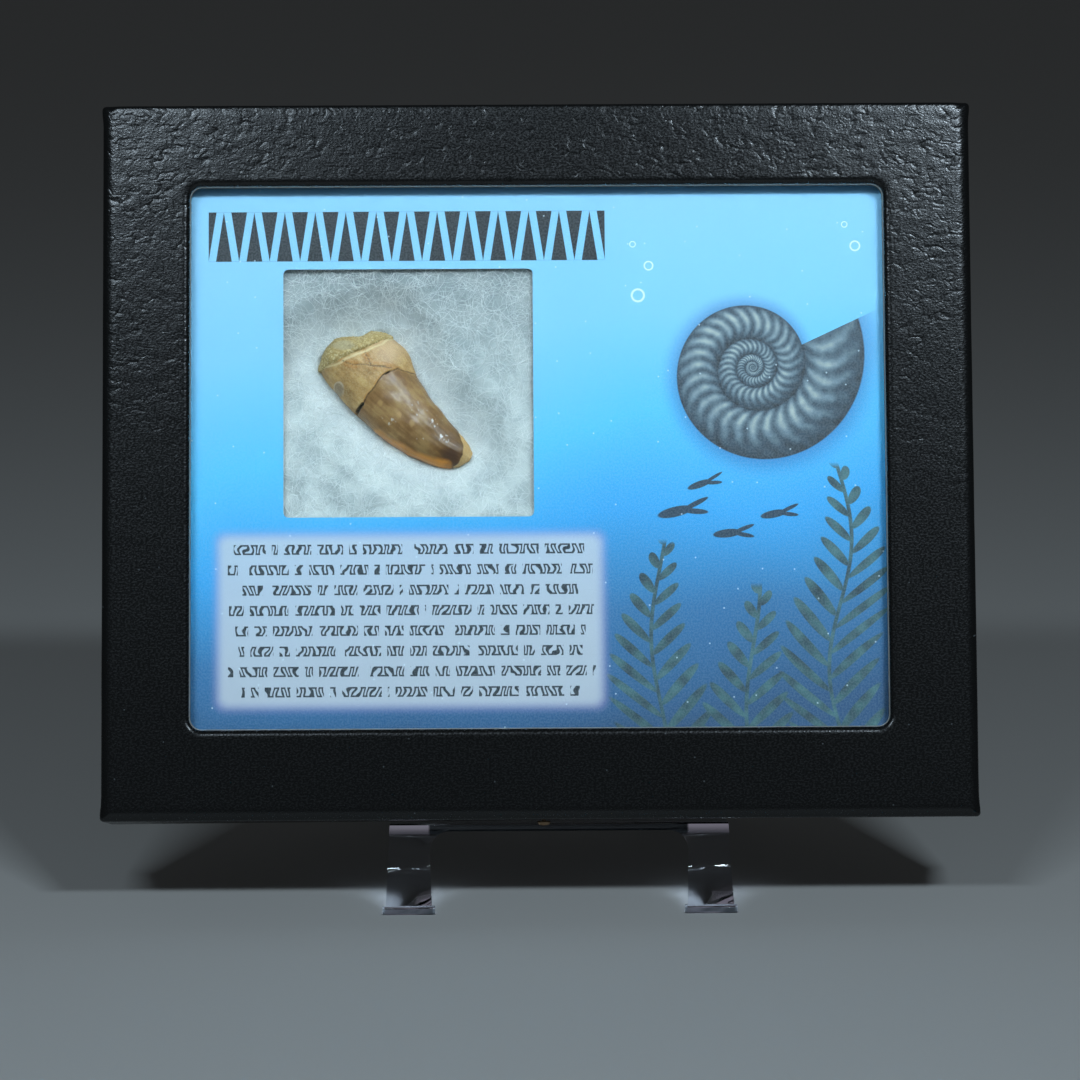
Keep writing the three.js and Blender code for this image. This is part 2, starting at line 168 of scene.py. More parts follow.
def lattice_noise(points, wavelength, seed=0):
    """Smooth noise between -1 and 1."""
    cells = np.asarray(points, float) / wavelength
    base = np.floor(cells).astype(np.int64)
    share = cells - base
    share = share * share * (3 - 2 * share)
    total = np.zeros(cells.shape[:-1])
    for corner in product((0, 1), repeat=3):
        at = base + corner
        mixed = at[..., 0] * 73856093 ^ at[..., 1] * 19349663 ^ at[..., 2] * 83492791
        mixed = (mixed ^ seed * 2654435) * 2246822519 & 0xFFFFFFFF
        mixed = (mixed ^ mixed >> 15) * 3266489917 & 0xFFFFFFFF
        value = (mixed ^ mixed >> 16) % 65536 / 32767.5 - 1
        weight = np.prod(np.where(corner, share, 1 - share), axis=-1)
        total += value * weight
    return total


def layered_noise(points, wavelength, layers=3, seed=0):
    """Noise with finer and weaker layers on top."""
    total = 0
    for layer in range(layers):
        total = total + lattice_noise(points, wavelength / 2**layer, seed + layer) / 2**layer
    return total / (2 - 2 ** (1 - layers))


def distance_to_line(places, line):
    """How far each place (across, up) is from a line through points."""
    nearest = np.full(places.shape[:-1], 1e9)
    for start, end in zip(line, line[1:]):
        start, end = np.array(start), np.array(end)
        along = end - start
        share = np.clip(((places - start) @ along) / (along @ along), 0, 1)
        gap = np.linalg.norm(places - start - share[..., None] * along, axis=-1)
        nearest = np.minimum(nearest, gap)
    return nearest


def curve_through(points, shares):
    """A smooth curve through points, at shares of its length from 0 to 1."""
    points = np.array(points, float)
    padded = np.vstack([2 * points[0] - points[1], points, 2 * points[-1] - points[-2]])
    place = np.asarray(shares) * (len(points) - 1)
    first = np.clip(place.astype(int), 0, len(points) - 2)
    t = (place - first)[..., None]
    p0, p1, p2, p3 = (padded[first + step] for step in range(4))
    bend = (2 * p0 - 5 * p1 + 4 * p2 - p3) * t**2 + (3 * p1 - p0 - 3 * p2 + p3) * t**3
    return 0.5 * (2 * p1 + (p2 - p0) * t + bend)


# ---- materials ---------------------------------------------------------------------

def linear(colour):
    """An sRGB hex colour as the linear colour that shaders take."""
    parts = [int(colour[at:at + 2], 16) / 255 for at in (1, 3, 5)]
    return (*(p / 12.92 if p <= 0.04045 else ((p + 0.055) / 1.055) ** 2.4 for p in parts), 1.0)


def add(tree, kind, links=None, output=0, stops=None, **settings):
    """Adds a node. Each link is an input's name or number with a socket, a value or an
    sRGB hex colour, and each stop is a place on the ramp with such a colour."""
    made = tree.nodes.new("ShaderNode" + kind)
    for name, value in settings.items():
        setattr(made, name, value)
    for key, value in (links or {}).items():
        if isinstance(value, bpy.types.NodeSocket):
            tree.links.new(value, made.inputs[key])
        else:
            made.inputs[key].default_value = linear(value) if isinstance(value, str) else value
    for index, (place, colour) in enumerate(stops or ()):
        ramp = made.color_ramp.elements
        stop = ramp[index] if index < 2 else ramp.new(place)
        stop.position = place
        stop.color = linear(colour)
    return made.outputs[output] if made.outputs else made


def new_material(name):
    """A material with an empty node tree: (the material, its tree)."""
    material = bpy.data.materials.new(name)
    material.use_nodes = True
    material.node_tree.nodes.clear()
    return material, material.node_tree


def finished(material, sockets):
    """Gives a material its shader, with these sockets set, and its output."""
    tree = material.node_tree
    shader = add(tree, "BsdfPrincipled", sockets)
    add(tree, "OutputMaterial", {"Surface": shader})
    return material


def case_millimetres(tree):
    """The place in the case's own millimetres."""
    place = add(tree, "TexCoord", output="Object")
    return add(
        tree, "Mapping",
        {"Vector": place, "Location": CASE_EDGE, "Rotation": CASE_TURN, "Scale": (MM, MM, MM)},
        vector_type="TEXTURE",
    )


def blend(tree, share, below, above):
    """One colour over another by a share."""
    return add(tree, "Mix", {0: share, 6: below, 7: above}, output=2, data_type="RGBA")


def leatherette():
    """Embossed black leatherette paper: near black and satin, with a fine pebble all
    over, pale specks that are painted glints and, where the piece says so, low folds that catch
    the light."""
    pebble_length, lump_spacing, glint_spacing = 0.35, 1.1, 14.0
    material, tree = new_material("embossed_black_leatherette")
    spot = case_millimetres(tree)
    depth = add(tree, "SeparateXYZ", {0: spot}, output=2)
    down_sides = add(tree, "CombineXYZ", {0: depth, 1: depth})
    flat = add(tree, "VectorMath", {0: down_sides, 1: (0.7, 0.7, 0.0), 2: spot},
               operation="MULTIPLY_ADD")
    place = add(tree, "VectorMath", {0: flat, 1: (0.76, 1.06, 1.0)}, operation="MULTIPLY")
    coarse = add(tree, "Attribute", output="Fac", attribute_name="coarse_grain")
    pebbles = add(
        tree, "TexNoise",
        {"Vector": place, "Scale": 1 / pebble_length, "Detail": 1.0, "Roughness": 0.6},
        noise_dimensions="2D",
    )
    drift = add(tree, "TexNoise", {"Vector": place, "Scale": 1 / 1.6, "Detail": 0.0},
                output="Color", noise_dimensions="2D")
    bent = add(tree, "VectorMath", {0: drift, 1: (1.6, 1.6, 0.0), 2: place},
               operation="MULTIPLY_ADD")
    rise = add(tree, "TexVoronoi", {"Vector": bent, "Scale": 1 / lump_spacing, "Smoothness": 0.25},
               feature="SMOOTH_F1", voronoi_dimensions="2D")
    squared = add(tree, "Math", {0: rise, 1: rise}, operation="MULTIPLY")
    patches = add(tree, "TexNoise", {"Vector": place, "Scale": 1 / 3.0, "Detail": 0.0},
                  noise_dimensions="2D")
    lump_share = add(tree, "MapRange", {"Value": patches, "From Min": 0.35, "From Max": 0.65,
                                        "To Min": -0.2, "To Max": -1.3})
    lumps = add(tree, "Math", {0: squared, 1: lump_share}, operation="MULTIPLY")
    lumpy = add(tree, "Math", {0: lumps, 1: coarse}, operation="MULTIPLY")
    height = add(tree, "Math", {0: pebbles, 1: 0.42, 2: lumpy}, operation="MULTIPLY_ADD")
    bump = add(tree, "Bump", {"Height": height, "Strength": 1.0, "Distance": 0.05 * MM})
    colour = blend(tree, pebbles, "#0c0d0d", "#1a1b1b")
    # Painted glints: small pale specks scattered at random, blended in by the worn mask.
    specks = add(tree, "TexVoronoi", {"Vector": flat, "Scale": 1 / glint_spacing},
                 voronoi_dimensions="2D")
    worn = add(tree, "MapRange", {"Value": specks, "From Min": 0.012, "From Max": 0.005,
                                  "To Max": 0.4})
    colour = blend(tree, worn, colour, "#8e969a")
    gloss = add(tree, "MapRange", {"Value": pebbles, "From Min": 0.38, "From Max": 0.62,
                                   "To Min": 0.3, "To Max": 0.17})
    return finished(material, {
        "Base Color": colour, "Roughness": gloss, "IOR": 1.5, "Normal": bump,
    })


def raw_board():
    """Die-cut grey-white paperboard: a pale, dull, slightly fibrous cut edge."""
    material, tree = new_material("cut_paperboard_edge")
    place = case_millimetres(tree)
    fibres = add(tree, "TexNoise", {"Vector": place, "Scale": 1 / 0.5, "Detail": 3.0})
    colour = blend(tree, fibres, "#b9b2a6", "#e9e6de")
    bump = add(tree, "Bump", {"Height": fibres, "Strength": 0.6, "Distance": 0.08 * MM})
    return finished(material, {
        "Base Color": colour, "Roughness": 0.85, "IOR": 1.45, "Normal": bump,
    })


def lining_paper():
    """Matt black lining paper with a faint mottle, as glued inside boxes."""
    material, tree = new_material("matt_black_lining_paper")
    place = case_millimetres(tree)
    mottle = add(tree, "TexNoise", {"Vector": place, "Scale": 1 / 0.8, "Detail": 4.0})
    colour = blend(tree, mottle, "#141416", "#232326")
    bump = add(tree, "Bump", {"Height": mottle, "Strength": 0.5, "Distance": 0.05 * MM})
    return finished(material, {
        "Base Color": colour, "Roughness": 0.8, "IOR": 1.45, "Normal": bump,
    })


def clear_material(name, colour, ior, roughness, height=None):
    """A clear solid that lets light on to what lies behind it."""
    material, tree = new_material(name)
    links = {"Base Color": colour, "Roughness": roughness, "IOR": ior, "Transmission Weight": 1.0}
    if height:
        links["Normal"] = height(tree)
    solid = add(tree, "BsdfPrincipled", links)
    passed = add(tree, "BsdfTransparent", {"Color": colour})
    shadow_ray = add(tree, "LightPath", output="Is Shadow Ray")
    shader = add(tree, "MixShader", {0: shadow_ray, 1: solid, 2: passed})
    add(tree, "OutputMaterial", {"Surface": shader})
    return material


def window_glass():
    """Clear float glass: smooth and flat, seen by its faint reflections."""
    return clear_material("clear_float_glass", "#fafdfd", 1.5, 0.0)


def clear_styrene():
    """Clear polystyrene, heated and bent: very clear, with waves from the bending."""
    def waves(tree):
        place = add(tree, "TexCoord", output="Object")
        drawn = add(tree, "TexNoise", {"Vector": place, "Scale": 1 / (6 * MM), "Detail": 1.0})
        return add(tree, "Bump", {"Height": drawn, "Strength": 0.5, "Distance": 0.05 * MM})
    return clear_material("clear_bent_styrene", "#f3f5fb", 1.59, 0.03, waves)


def styrene_with_painted_glow(name, glow, fade_length):
    """The same plastic where it was cut or tightly bent: milky there, as a painted
    highlight, and with a painted glow high on the legs."""
    material, tree = new_material(name)
    material.cycles.emission_sampling = "NONE"  # its glow lights nothing else
    place = case_millimetres(tree)
    # Painted glow: on the legs only, fading downwards from the top of the bend.
    across = add(tree, "SeparateXYZ", {0: place})
    up = across.node.outputs[1]
    beside = add(tree, "Math", {0: across, 1: EASEL_MIDDLE}, operation="SUBTRACT")
    out = add(tree, "Math", {0: beside}, operation="ABSOLUTE")
    on_leg = add(tree, "MapRange", {"Value": out, "From Min": LEG_INNER - 0.2,
                                    "From Max": LEG_INNER + 0.2, "To Max": glow})
    high = add(tree, "MapRange", {"Value": up, "From Min": BEND_HIGH - fade_length,
                                  "From Max": BEND_HIGH - 0.3}, interpolation_type="SMOOTHSTEP")
    painted_glow = add(tree, "Math", {0: on_leg, 1: high}, operation="MULTIPLY")
    drawn = add(tree, "TexNoise", {"Vector": place, "Scale": 1 / 0.5, "Detail": 3.0})
    bump = add(tree, "Bump", {"Height": drawn, "Strength": 0.4, "Distance": 0.03 * MM})
    # The milky base colour is a painted highlight on the cut edges and the bend.
    return finished(material, {
        "Base Color": "#b4bfcc", "Roughness": 0.3, "IOR": 1.59, "Transmission Weight": 0.85,
        "Emission Color": "#c6c2d6", "Emission Strength": painted_glow, "Normal": bump,
    })


def pin_brass():
    """Drawn brass pin, dulled by handling."""
    material, tree = new_material("dull_pin_brass")
    place = add(tree, "TexCoord", output="Object")
    wear = add(tree, "TexNoise", {"Vector": place, "Scale": 1 / (0.4 * MM), "Detail": 3.0})
    colour = blend(tree, wear, "#80694c", "#b3967a")
    gloss = add(tree, "MapRange", {"Value": wear, "To Min": 0.22, "To Max": 0.45})
    bump = add(tree, "Bump", {"Height": wear, "Strength": 0.3, "Distance": 0.02 * MM})
    return finished(material, {
        "Base Color": colour, "Metallic": 1.0, "Roughness": gloss, "Normal": bump,
    })


# ---- the card's print --------------------------------------------------------------

TITLE_LEFT, TITLE_RIGHT, TITLE_LOW, TITLE_HIGH = -60.3, 12.5, 102.6, 111.8
TITLE_TOOTH = (TITLE_RIGHT - TITLE_LEFT) / 13
PANEL_CENTRE, PANEL_SIZE = (-23.45, 36.3), (71.2, 32.6)
RULE_TOP, RULE_SPACING, RULE_COUNT = 49.4, 3.72, 8
SHELL_CENTRE, SHELL_RADIUS, SHELL_GROWTH = (39.5, 82.5), 21.5, 2.15


def rounded_box(tree, place, centre, size, radius, softness):
    """1 inside a rounded rectangle, 0 outside, fading over the softness."""
    local = add(tree, "VectorMath", {0: place, 1: (*centre, 0)}, operation="SUBTRACT")
    folded = add(tree, "VectorMath", {0: local}, operation="ABSOLUTE")
    core = (size[0] / 2 - radius, size[1] / 2 - radius, 0)
    past = add(tree, "VectorMath", {0: folded, 1: core}, operation="SUBTRACT")
    outside = add(tree, "VectorMath", {0: past, 1: (0, 0, 0)}, operation="MAXIMUM")
    reach = add(tree, "VectorMath", {0: outside}, output="Value", operation="LENGTH")
    return add(
        tree, "MapRange",
        {"Value": reach, "From Min": radius + softness / 2, "From Max": radius - softness / 2},
        interpolation_type="SMOOTHSTEP",
    )


def deep_water(tree, place, up, across):
    """The card's ground: pale surface water above, deep blue below and to the right."""
    leaning = add(tree, "Math", {0: across, 1: -0.12, 2: up}, operation="MULTIPLY_ADD")
    patches = add(tree, "TexNoise", {"Vector": place, "Scale": 1 / 30, "Detail": 0.0},
                  noise_dimensions="2D")
    drifted = add(tree, "Math", {0: patches, 1: 7.0, 2: leaning}, operation="MULTIPLY_ADD")
    share = add(tree, "MapRange", {"Value": drifted, "From Min": 18.0, "From Max": 118.0})
    return add(
        tree, "ValToRGB", {"Fac": share},
        stops=[(0.0, "#23537b"), (0.97, "#90cef1"), (0.2, "#2974a5"), (0.38, "#2ba7e6"),
               (0.55, "#53c6f7"), (0.75, "#82cdf4")],
    )


def kelp_frond(tree, across, up, foot, top, sway, phase):
    """A stem that sways, with leaves on both sides that shrink towards its top."""
    leaf_spacing, leaf_length, leaf_width, leaf_tilt = 4.6, 4.6, 1.15, 0.9
    wave = add(tree, "Math", {0: up, 1: 0.13, 2: phase}, operation="MULTIPLY_ADD")
    swung = add(tree, "Math", {0: wave}, operation="SINE")
    middle = add(tree, "Math", {0: swung, 1: sway, 2: foot}, operation="MULTIPLY_ADD")
    beside = add(tree, "Math", {0: across, 1: middle}, operation="SUBTRACT")
    out = add(tree, "Math", {0: beside}, operation="ABSOLUTE")
    taper = add(
        tree, "MapRange",
        {"Value": up, "From Min": top, "From Max": top - 26, "To Min": 0.18, "To Max": 1.0},
    )
    side = add(tree, "Math", {0: beside, 1: 0.0}, operation="GREATER_THAN")
    shifted = add(tree, "Math", {0: side, 1: leaf_spacing / 2, 2: up}, operation="MULTIPLY_ADD")
    climbed = add(tree, "Math", {0: out, 1: -leaf_tilt, 2: shifted}, operation="MULTIPLY_ADD")
    wrapped = add(tree, "Math", {0: climbed, 1: leaf_spacing / 2, 2: -leaf_spacing / 2},
                  operation="WRAP")
    scaled_out = add(tree, "Math", {0: out, 1: taper}, operation="DIVIDE")
    along = add(
        tree, "Math", {0: scaled_out, 1: 1 / leaf_length, 2: -1.0}, operation="MULTIPLY_ADD",
    )
    widened = add(tree, "Math", {0: wrapped, 1: leaf_width}, operation="DIVIDE")
    leaf_place = add(tree, "CombineXYZ", {"X": along, "Y": widened})
    reach = add(tree, "VectorMath", {0: leaf_place}, output="Value", operation="LENGTH")
    leaf = add(tree, "MapRange", {"Value": reach, "From Min": 1.06, "From Max": 0.9},
               interpolation_type="SMOOTHSTEP")
    stem = add(tree, "MapRange", {"Value": out, "From Min": 0.42, "From Max": 0.28})
    drawn = add(tree, "Math", {0: leaf, 1: stem}, operation="MAXIMUM")
    below_top = add(tree, "MapRange", {"Value": up, "From Min": top, "From Max": top - 1.0})
    return add(tree, "Math", {0: drawn, 1: below_top}, operation="MULTIPLY")


def fish(tree, place, centre, length, slant):
    """A small fish, heading up to the left by a slant: a slim body and two tail lobes."""
    local = add(tree, "VectorMath", {0: place, 1: (*centre, 0)}, operation="SUBTRACT")
    parts = add(tree, "SeparateXYZ", {0: local})
    raised = add(tree, "Math", {0: parts, 1: -slant, 2: parts.node.outputs[1]},
                 operation="MULTIPLY_ADD")
    out = add(tree, "Math", {0: raised}, operation="ABSOLUTE")
    spot = add(tree, "CombineXYZ", {0: parts, 1: out})
    slim = add(tree, "VectorMath", {0: spot, 1: (2.0 / length, 6.7 / length, 0)},
               operation="MULTIPLY")
    body = add(tree, "VectorMath", {0: slim}, output="Value", operation="LENGTH")
    lobe = add(tree, "VectorMath", {0: spot, 1: (0.58 * length, 0.11 * length, 0)},
               operation="SUBTRACT")
    stretched = add(tree, "VectorMath", {0: lobe, 1: (4.6 / length, 12.0 / length, 0)},
                    operation="MULTIPLY")
    swept = add(tree, "VectorMath", {0: stretched, 1: (-0.9, 1.0, 0)}, output="Value",
                operation="DOT_PRODUCT")
    tail = add(tree, "CombineXYZ", {0: stretched, 1: swept})
    fin = add(tree, "VectorMath", {0: tail}, output="Value", operation="LENGTH")
    nearest = add(tree, "Math", {0: body, 1: fin}, operation="MINIMUM")
    return add(tree, "MapRange", {"Value": nearest, "From Min": 1.06, "From Max": 0.94})


def coiled_shell(tree, place):
    """A ribbed, coiled shell: (its colour, its shape, its soft shadow)."""
    ribs, turned = 27.0, math.radians(205)
    centred = add(tree, "VectorMath", {0: place, 1: (*SHELL_CENTRE, 0)}, operation="SUBTRACT")
    local = add(
        tree, "Mapping", {"Vector": centred, "Rotation": (0, 0, turned)}, vector_type="TEXTURE",
    )
    reach = add(tree, "VectorMath", {0: local}, output="Value", operation="LENGTH")
    parts = add(tree, "SeparateXYZ", {0: local})
    angle = add(tree, "Math", {0: parts.node.outputs[1], 1: parts}, operation="ARCTAN2")
    turn = add(tree, "MapRange", {"Value": angle, "From Min": -math.pi, "From Max": math.pi},
               clamp=False)
    shrink = add(tree, "Math", {0: SHELL_RADIUS, 1: reach}, operation="DIVIDE")
    coils_in = add(tree, "Math", {0: shrink, 1: SHELL_GROWTH}, operation="LOGARITHM")
    outer = add(tree, "Math", {0: turn, 1: 1.0}, operation="SUBTRACT")
    coil = add(tree, "Math", {0: coils_in, 1: outer}, operation="ADD")
    number = add(tree, "Math", {0: coil}, operation="FLOOR")
    across_coil = add(tree, "Math", {0: coil}, operation="FRACT")
    slope = add(tree, "Math", {0: across_coil, 1: 2.0, 2: -1.0}, operation="MULTIPLY_ADD")
    squared = add(tree, "Math", {0: slope, 1: slope}, operation="MULTIPLY")
    flat = add(tree, "Math", {0: 1.0, 1: squared}, operation="SUBTRACT")
    fullness = add(tree, "Math", {0: flat, 1: 0.6}, operation="POWER")
    whole_turn = add(tree, "Math", {0: turn, 1: number}, operation="SUBTRACT")
    swept = add(tree, "Math", {0: flat, 1: 0.035, 2: whole_turn}, operation="MULTIPLY_ADD")
    rib_turn = add(tree, "Math", {0: swept, 1: 2 * math.pi * ribs}, operation="MULTIPLY")
    rib_wave = add(tree, "Math", {0: rib_turn}, operation="SINE")
    rib = add(tree, "MapRange", {"Value": rib_wave, "From Min": -1.0, "To Min": 0.45})
    outward = add(tree, "VectorMath", {0: centred}, operation="NORMALIZE")
    lit_side = add(tree, "VectorMath", {0: outward, 1: (-0.45, 0.89, 0)}, output="Value",
                   operation="DOT_PRODUCT")
    tilt = add(tree, "Math", {0: lit_side, 1: slope}, operation="MULTIPLY")
    light = add(tree, "Math", {0: tilt, 1: -0.42, 2: 0.58}, operation="MULTIPLY_ADD")
    ribbed = add(tree, "Math", {0: light, 1: rib}, operation="MULTIPLY")
    shade = add(tree, "Math", {0: ribbed, 1: fullness}, operation="MULTIPLY")
    stains = add(tree, "TexNoise", {"Vector": place, "Scale": 1 / 1.6, "Detail": 1.0},
                 noise_dimensions="2D")
    mottled = add(tree, "Math", {0: stains, 1: 0.28, 2: shade}, operation="MULTIPLY_ADD")
    colour = add(
        tree, "ValToRGB", {"Fac": mottled},
        stops=[(0.12, "#18222b"), (0.95, "#c9cfc4"), (0.38, "#40535f"), (0.62, "#748790")],
    )
    shape = add(tree, "MapRange", {"Value": coil, "From Min": -0.006, "From Max": 0.012})
    shadow = add(tree, "MapRange", {"Value": coil, "From Min": -0.3, "From Max": 0.05},
                 interpolation_type="SMOOTHSTEP")
    return colour, shape, shadow


def title_ornament(tree, place, across, up):
    """Two facing rows of narrow pointed teeth."""
    frame_box = rounded_box(
        tree, place, ((TITLE_LEFT + TITLE_RIGHT) / 2, (TITLE_LOW + TITLE_HIGH) / 2),
        (TITLE_RIGHT - TITLE_LEFT, TITLE_HIGH - TITLE_LOW), 0.05, 0.1,
    )
    half_pitch = TITLE_TOOTH / 2
    start = add(tree, "Math", {0: across, 1: TITLE_LEFT}, operation="SUBTRACT")
    zigzag = add(tree, "Math", {0: start, 1: half_pitch}, operation="PINGPONG")
    upper = add(
        tree, "MapRange",
        {"Value": zigzag, "From Max": 0.52 * half_pitch, "To Min": TITLE_LOW,
         "To Max": TITLE_HIGH},
    )
    lower = add(
        tree, "MapRange",
        {"Value": zigzag, "From Min": half_pitch, "From Max": 0.48 * half_pitch,
         "To Min": TITLE_HIGH, "To Max": TITLE_LOW},
    )
    over = add(tree, "Math", {0: up, 1: upper}, operation="SUBTRACT")
    under = add(tree, "Math", {0: lower, 1: up}, operation="SUBTRACT")
    deepest = add(tree, "Math", {0: over, 1: under}, operation="MAXIMUM")
    teeth = add(tree, "MapRange", {"Value": deepest, "From Min": -0.12, "From Max": 0.12})
    return add(tree, "Math", {0: teeth, 1: frame_box}, operation="MULTIPLY")


def rows_of_strokes(tree, place, across, up):
    """Even rows of small joined strokes in groups, in place of words."""
    half_height, half_width, gap, pitch, bar = 0.92, 32.2, 1.1, 0.86, 0.3
    from_top = add(tree, "Math", {0: RULE_TOP + RULE_SPACING / 2, 1: up}, operation="SUBTRACT")
    rows = add(tree, "Math", {0: from_top, 1: RULE_SPACING}, operation="DIVIDE")
    row = add(tree, "Math", {0: rows}, operation="FLOOR")
    share = add(tree, "Math", {0: rows}, operation="FRACT")
    low = add(tree, "Math", {0: share, 1: RULE_SPACING, 2: -RULE_SPACING / 2},
              operation="MULTIPLY_ADD")
    off_middle = add(tree, "Math", {0: low}, operation="ABSOLUTE")

    uneven = add(tree, "TexNoise", {"Vector": place, "Scale": 1 / 2.1, "Detail": 0.0},
                 noise_dimensions="2D")
    jitter = add(tree, "Math", {0: uneven, 1: 1.8, 2: across}, operation="MULTIPLY_ADD")
    moved = add(tree, "Math", {0: row, 1: 3.37, 2: jitter}, operation="MULTIPLY_ADD")
    pair = add(tree, "Math", {0: moved, 1: 2 * pitch, 2: 0.0}, operation="WRAP")
    stroke = add(tree, "Math", {0: pair, 1: pitch / 2}, operation="PINGPONG")
    upright = add(tree, "MapRange", {"Value": stroke, "From Min": 0.235, "From Max": 0.165})
    on_top = add(tree, "Math", {0: pair, 1: pitch}, operation="LESS_THAN")
    signed = add(tree, "Math", {0: on_top, 1: -2.0, 2: 1.0}, operation="MULTIPLY_ADD")
    joined_at = add(tree, "Math", {0: low, 1: signed}, operation="MULTIPLY")
    joint = add(tree, "MapRange", {"Value": joined_at, "From Min": half_height - bar - 0.05,
                                   "From Max": half_height - bar + 0.05})
    ink = add(tree, "Math", {0: upright, 1: joint}, operation="MAXIMUM")

    edge = add(tree, "MapRange", {"Value": off_middle, "From Min": half_height + 0.04,
                                  "From Max": half_height - 0.04})
    ink = add(tree, "Math", {0: ink, 1: edge}, operation="MULTIPLY")
    for shift, spacing in ((7.3, 11.9), (4.1, 8.3)):
        slid = add(tree, "Math", {0: row, 1: shift, 2: across}, operation="MULTIPLY_ADD")
        wrapped = add(tree, "Math", {0: slid, 1: spacing, 2: 0.0}, operation="WRAP")
        word = add(tree, "Math", {0: wrapped, 1: gap}, operation="GREATER_THAN")
        ink = add(tree, "Math", {0: ink, 1: word}, operation="MULTIPLY")
    centred = add(tree, "Math", {0: across, 1: PANEL_CENTRE[0]}, operation="SUBTRACT")
    out = add(tree, "Math", {0: centred}, operation="ABSOLUTE")
    unevenly = add(tree, "Math", {0: row, 1: 2.4}, operation="MULTIPLY")
    sway = add(tree, "Math", {0: unevenly}, operation="SINE")
    reach = add(tree, "Math", {0: sway, 1: 1.6, 2: half_width}, operation="MULTIPLY_ADD")
    in_line = add(tree, "Math", {0: out, 1: reach}, operation="LESS_THAN")
    below = add(tree, "Math", {0: rows, 1: 0.0}, operation="GREATER_THAN")
    above = add(tree, "Math", {0: rows, 1: float(RULE_COUNT)}, operation="LESS_THAN")
    for limit in (in_line, below, above):
        ink = add(tree, "Math", {0: ink, 1: limit}, operation="MULTIPLY")
    return ink


def printed_card():
    """Inkjet print on satin card: a soft blue sea ground, sharp motifs, fine print
    grain and a few white specks; the cut edges are bare white card."""
    material, tree = new_material("printed_satin_card")
    spot = case_millimetres(tree)
    place = add(tree, "VectorMath", {0: spot, 1: (1, 1, 0)}, operation="MULTIPLY")
    across = add(tree, "SeparateXYZ", {0: place})
    up = across.node.outputs[1]
    depth = add(tree, "SeparateXYZ", {0: spot}, output=2)

    colour = deep_water(tree, place, up, across)
    shell_colour, shell, shell_shadow = coiled_shell(tree, place)
    shadow_share = add(tree, "Math", {0: shell_shadow, 1: 0.55}, operation="MULTIPLY")
    colour = blend(tree, shadow_share, colour, "#1c5fa8")

    shade = add(tree, "TexNoise", {"Vector": place, "Scale": 1 / 2.5, "Detail": 0.0},
                noise_dimensions="2D")
    green = blend(tree, shade, "#17323c", "#4d7a7c")
    for foot, top, sway, phase in ((22.0, 51, 1.6, 0.4), (39.0, 43, 1.4, 2.2),
                                   (55.0, 65, 2.2, 1.2)):
        frond = kelp_frond(tree, across, up, foot, top, sway, phase)
        colour = blend(tree, frond, colour, green)

    colour = blend(tree, shell, colour, shell_colour)
    for centre, length, slant in (((25.0, 56.0), 6.4, 0.21), ((34.5, 52.0), 5.2, 0.1),
                                  ((29.5, 61.0), 4.4, 0.32), ((43.0, 55.5), 4.8, 0.18)):
        shape = fish(tree, place, centre, length, slant)
        colour = blend(tree, shape, colour, "#223c4e")
    for centre, radius in (((18.5, 96.0), 1.3), ((20.5, 101.5), 0.9), ((17.6, 105.5), 0.6),
                           ((58.5, 105.0), 1.0), ((56.6, 109.0), 0.6)):
        reach = add(tree, "VectorMath", {0: place, 1: (*centre, 0)}, output="Value",
                    operation="DISTANCE")
        from_rim = add(tree, "Math", {0: reach, 1: 0.86 * radius}, operation="SUBTRACT")
        off_rim = add(tree, "Math", {0: from_rim}, operation="ABSOLUTE")
        ring = add(tree, "MapRange", {"Value": off_rim, "From Min": 0.2 * radius,
                                      "From Max": 0.08 * radius})
        colour = blend(tree, ring, colour, "#e8f8ff")

    title = title_ornament(tree, place, across, up)
    colour = blend(tree, title, colour, "#10171d")

    rim = rounded_box(tree, place, PANEL_CENTRE, PANEL_SIZE, 1.8, 2.6)
    rim_share = add(tree, "Math", {0: rim, 1: 0.5}, operation="MULTIPLY")
    colour = blend(tree, rim_share, colour, "#a99fd2")
    inner_size = (PANEL_SIZE[0] - 1.6, PANEL_SIZE[1] - 1.6)
    panel = rounded_box(tree, place, PANEL_CENTRE, inner_size, 1.8, 2.4)
    panel_share = add(tree, "Math", {0: panel, 1: 0.62}, operation="MULTIPLY")
    colour = blend(tree, panel_share, colour, "#dae0d9")
    words = rows_of_strokes(tree, place, across, up)
    colour = blend(tree, words, colour, "#233038")

    grain = add(tree, "TexNoise", {"Vector": place, "Scale": 1 / 0.35, "Detail": 1.0},
                noise_dimensions="2D")
    grain_share = add(
        tree, "MapRange",
        {"Value": grain, "From Min": 0.35, "From Max": 0.65, "To Min": 0.0, "To Max": 0.045},
    )
    colour = blend(tree, grain_share, colour, "#ffffff")
    dust = add(tree, "TexVoronoi", {"Vector": place, "Scale": 1 / 9.0}, voronoi_dimensions="2D")
    speck = add(tree, "MapRange", {"Value": dust, "From Min": 0.022, "From Max": 0.01,
                                   "To Max": 0.6})
    colour = blend(tree, speck, colour, "#e6f4fb")

    on_front = add(tree, "Math", {0: depth, 1: -CARD_FRONT - 0.02}, operation="GREATER_THAN")
    colour = blend(tree, on_front, "#e9eef0", colour)
    bump = add(tree, "Bump", {"Height": grain, "Strength": 0.2, "Distance": 0.02 * MM})
    return finished(material, {
        "Base Color": colour, "Roughness": 0.42, "IOR": 1.45, "Normal": bump,
    })


# ---- fibre, tooth and sediment finishes ---------------------------------------------

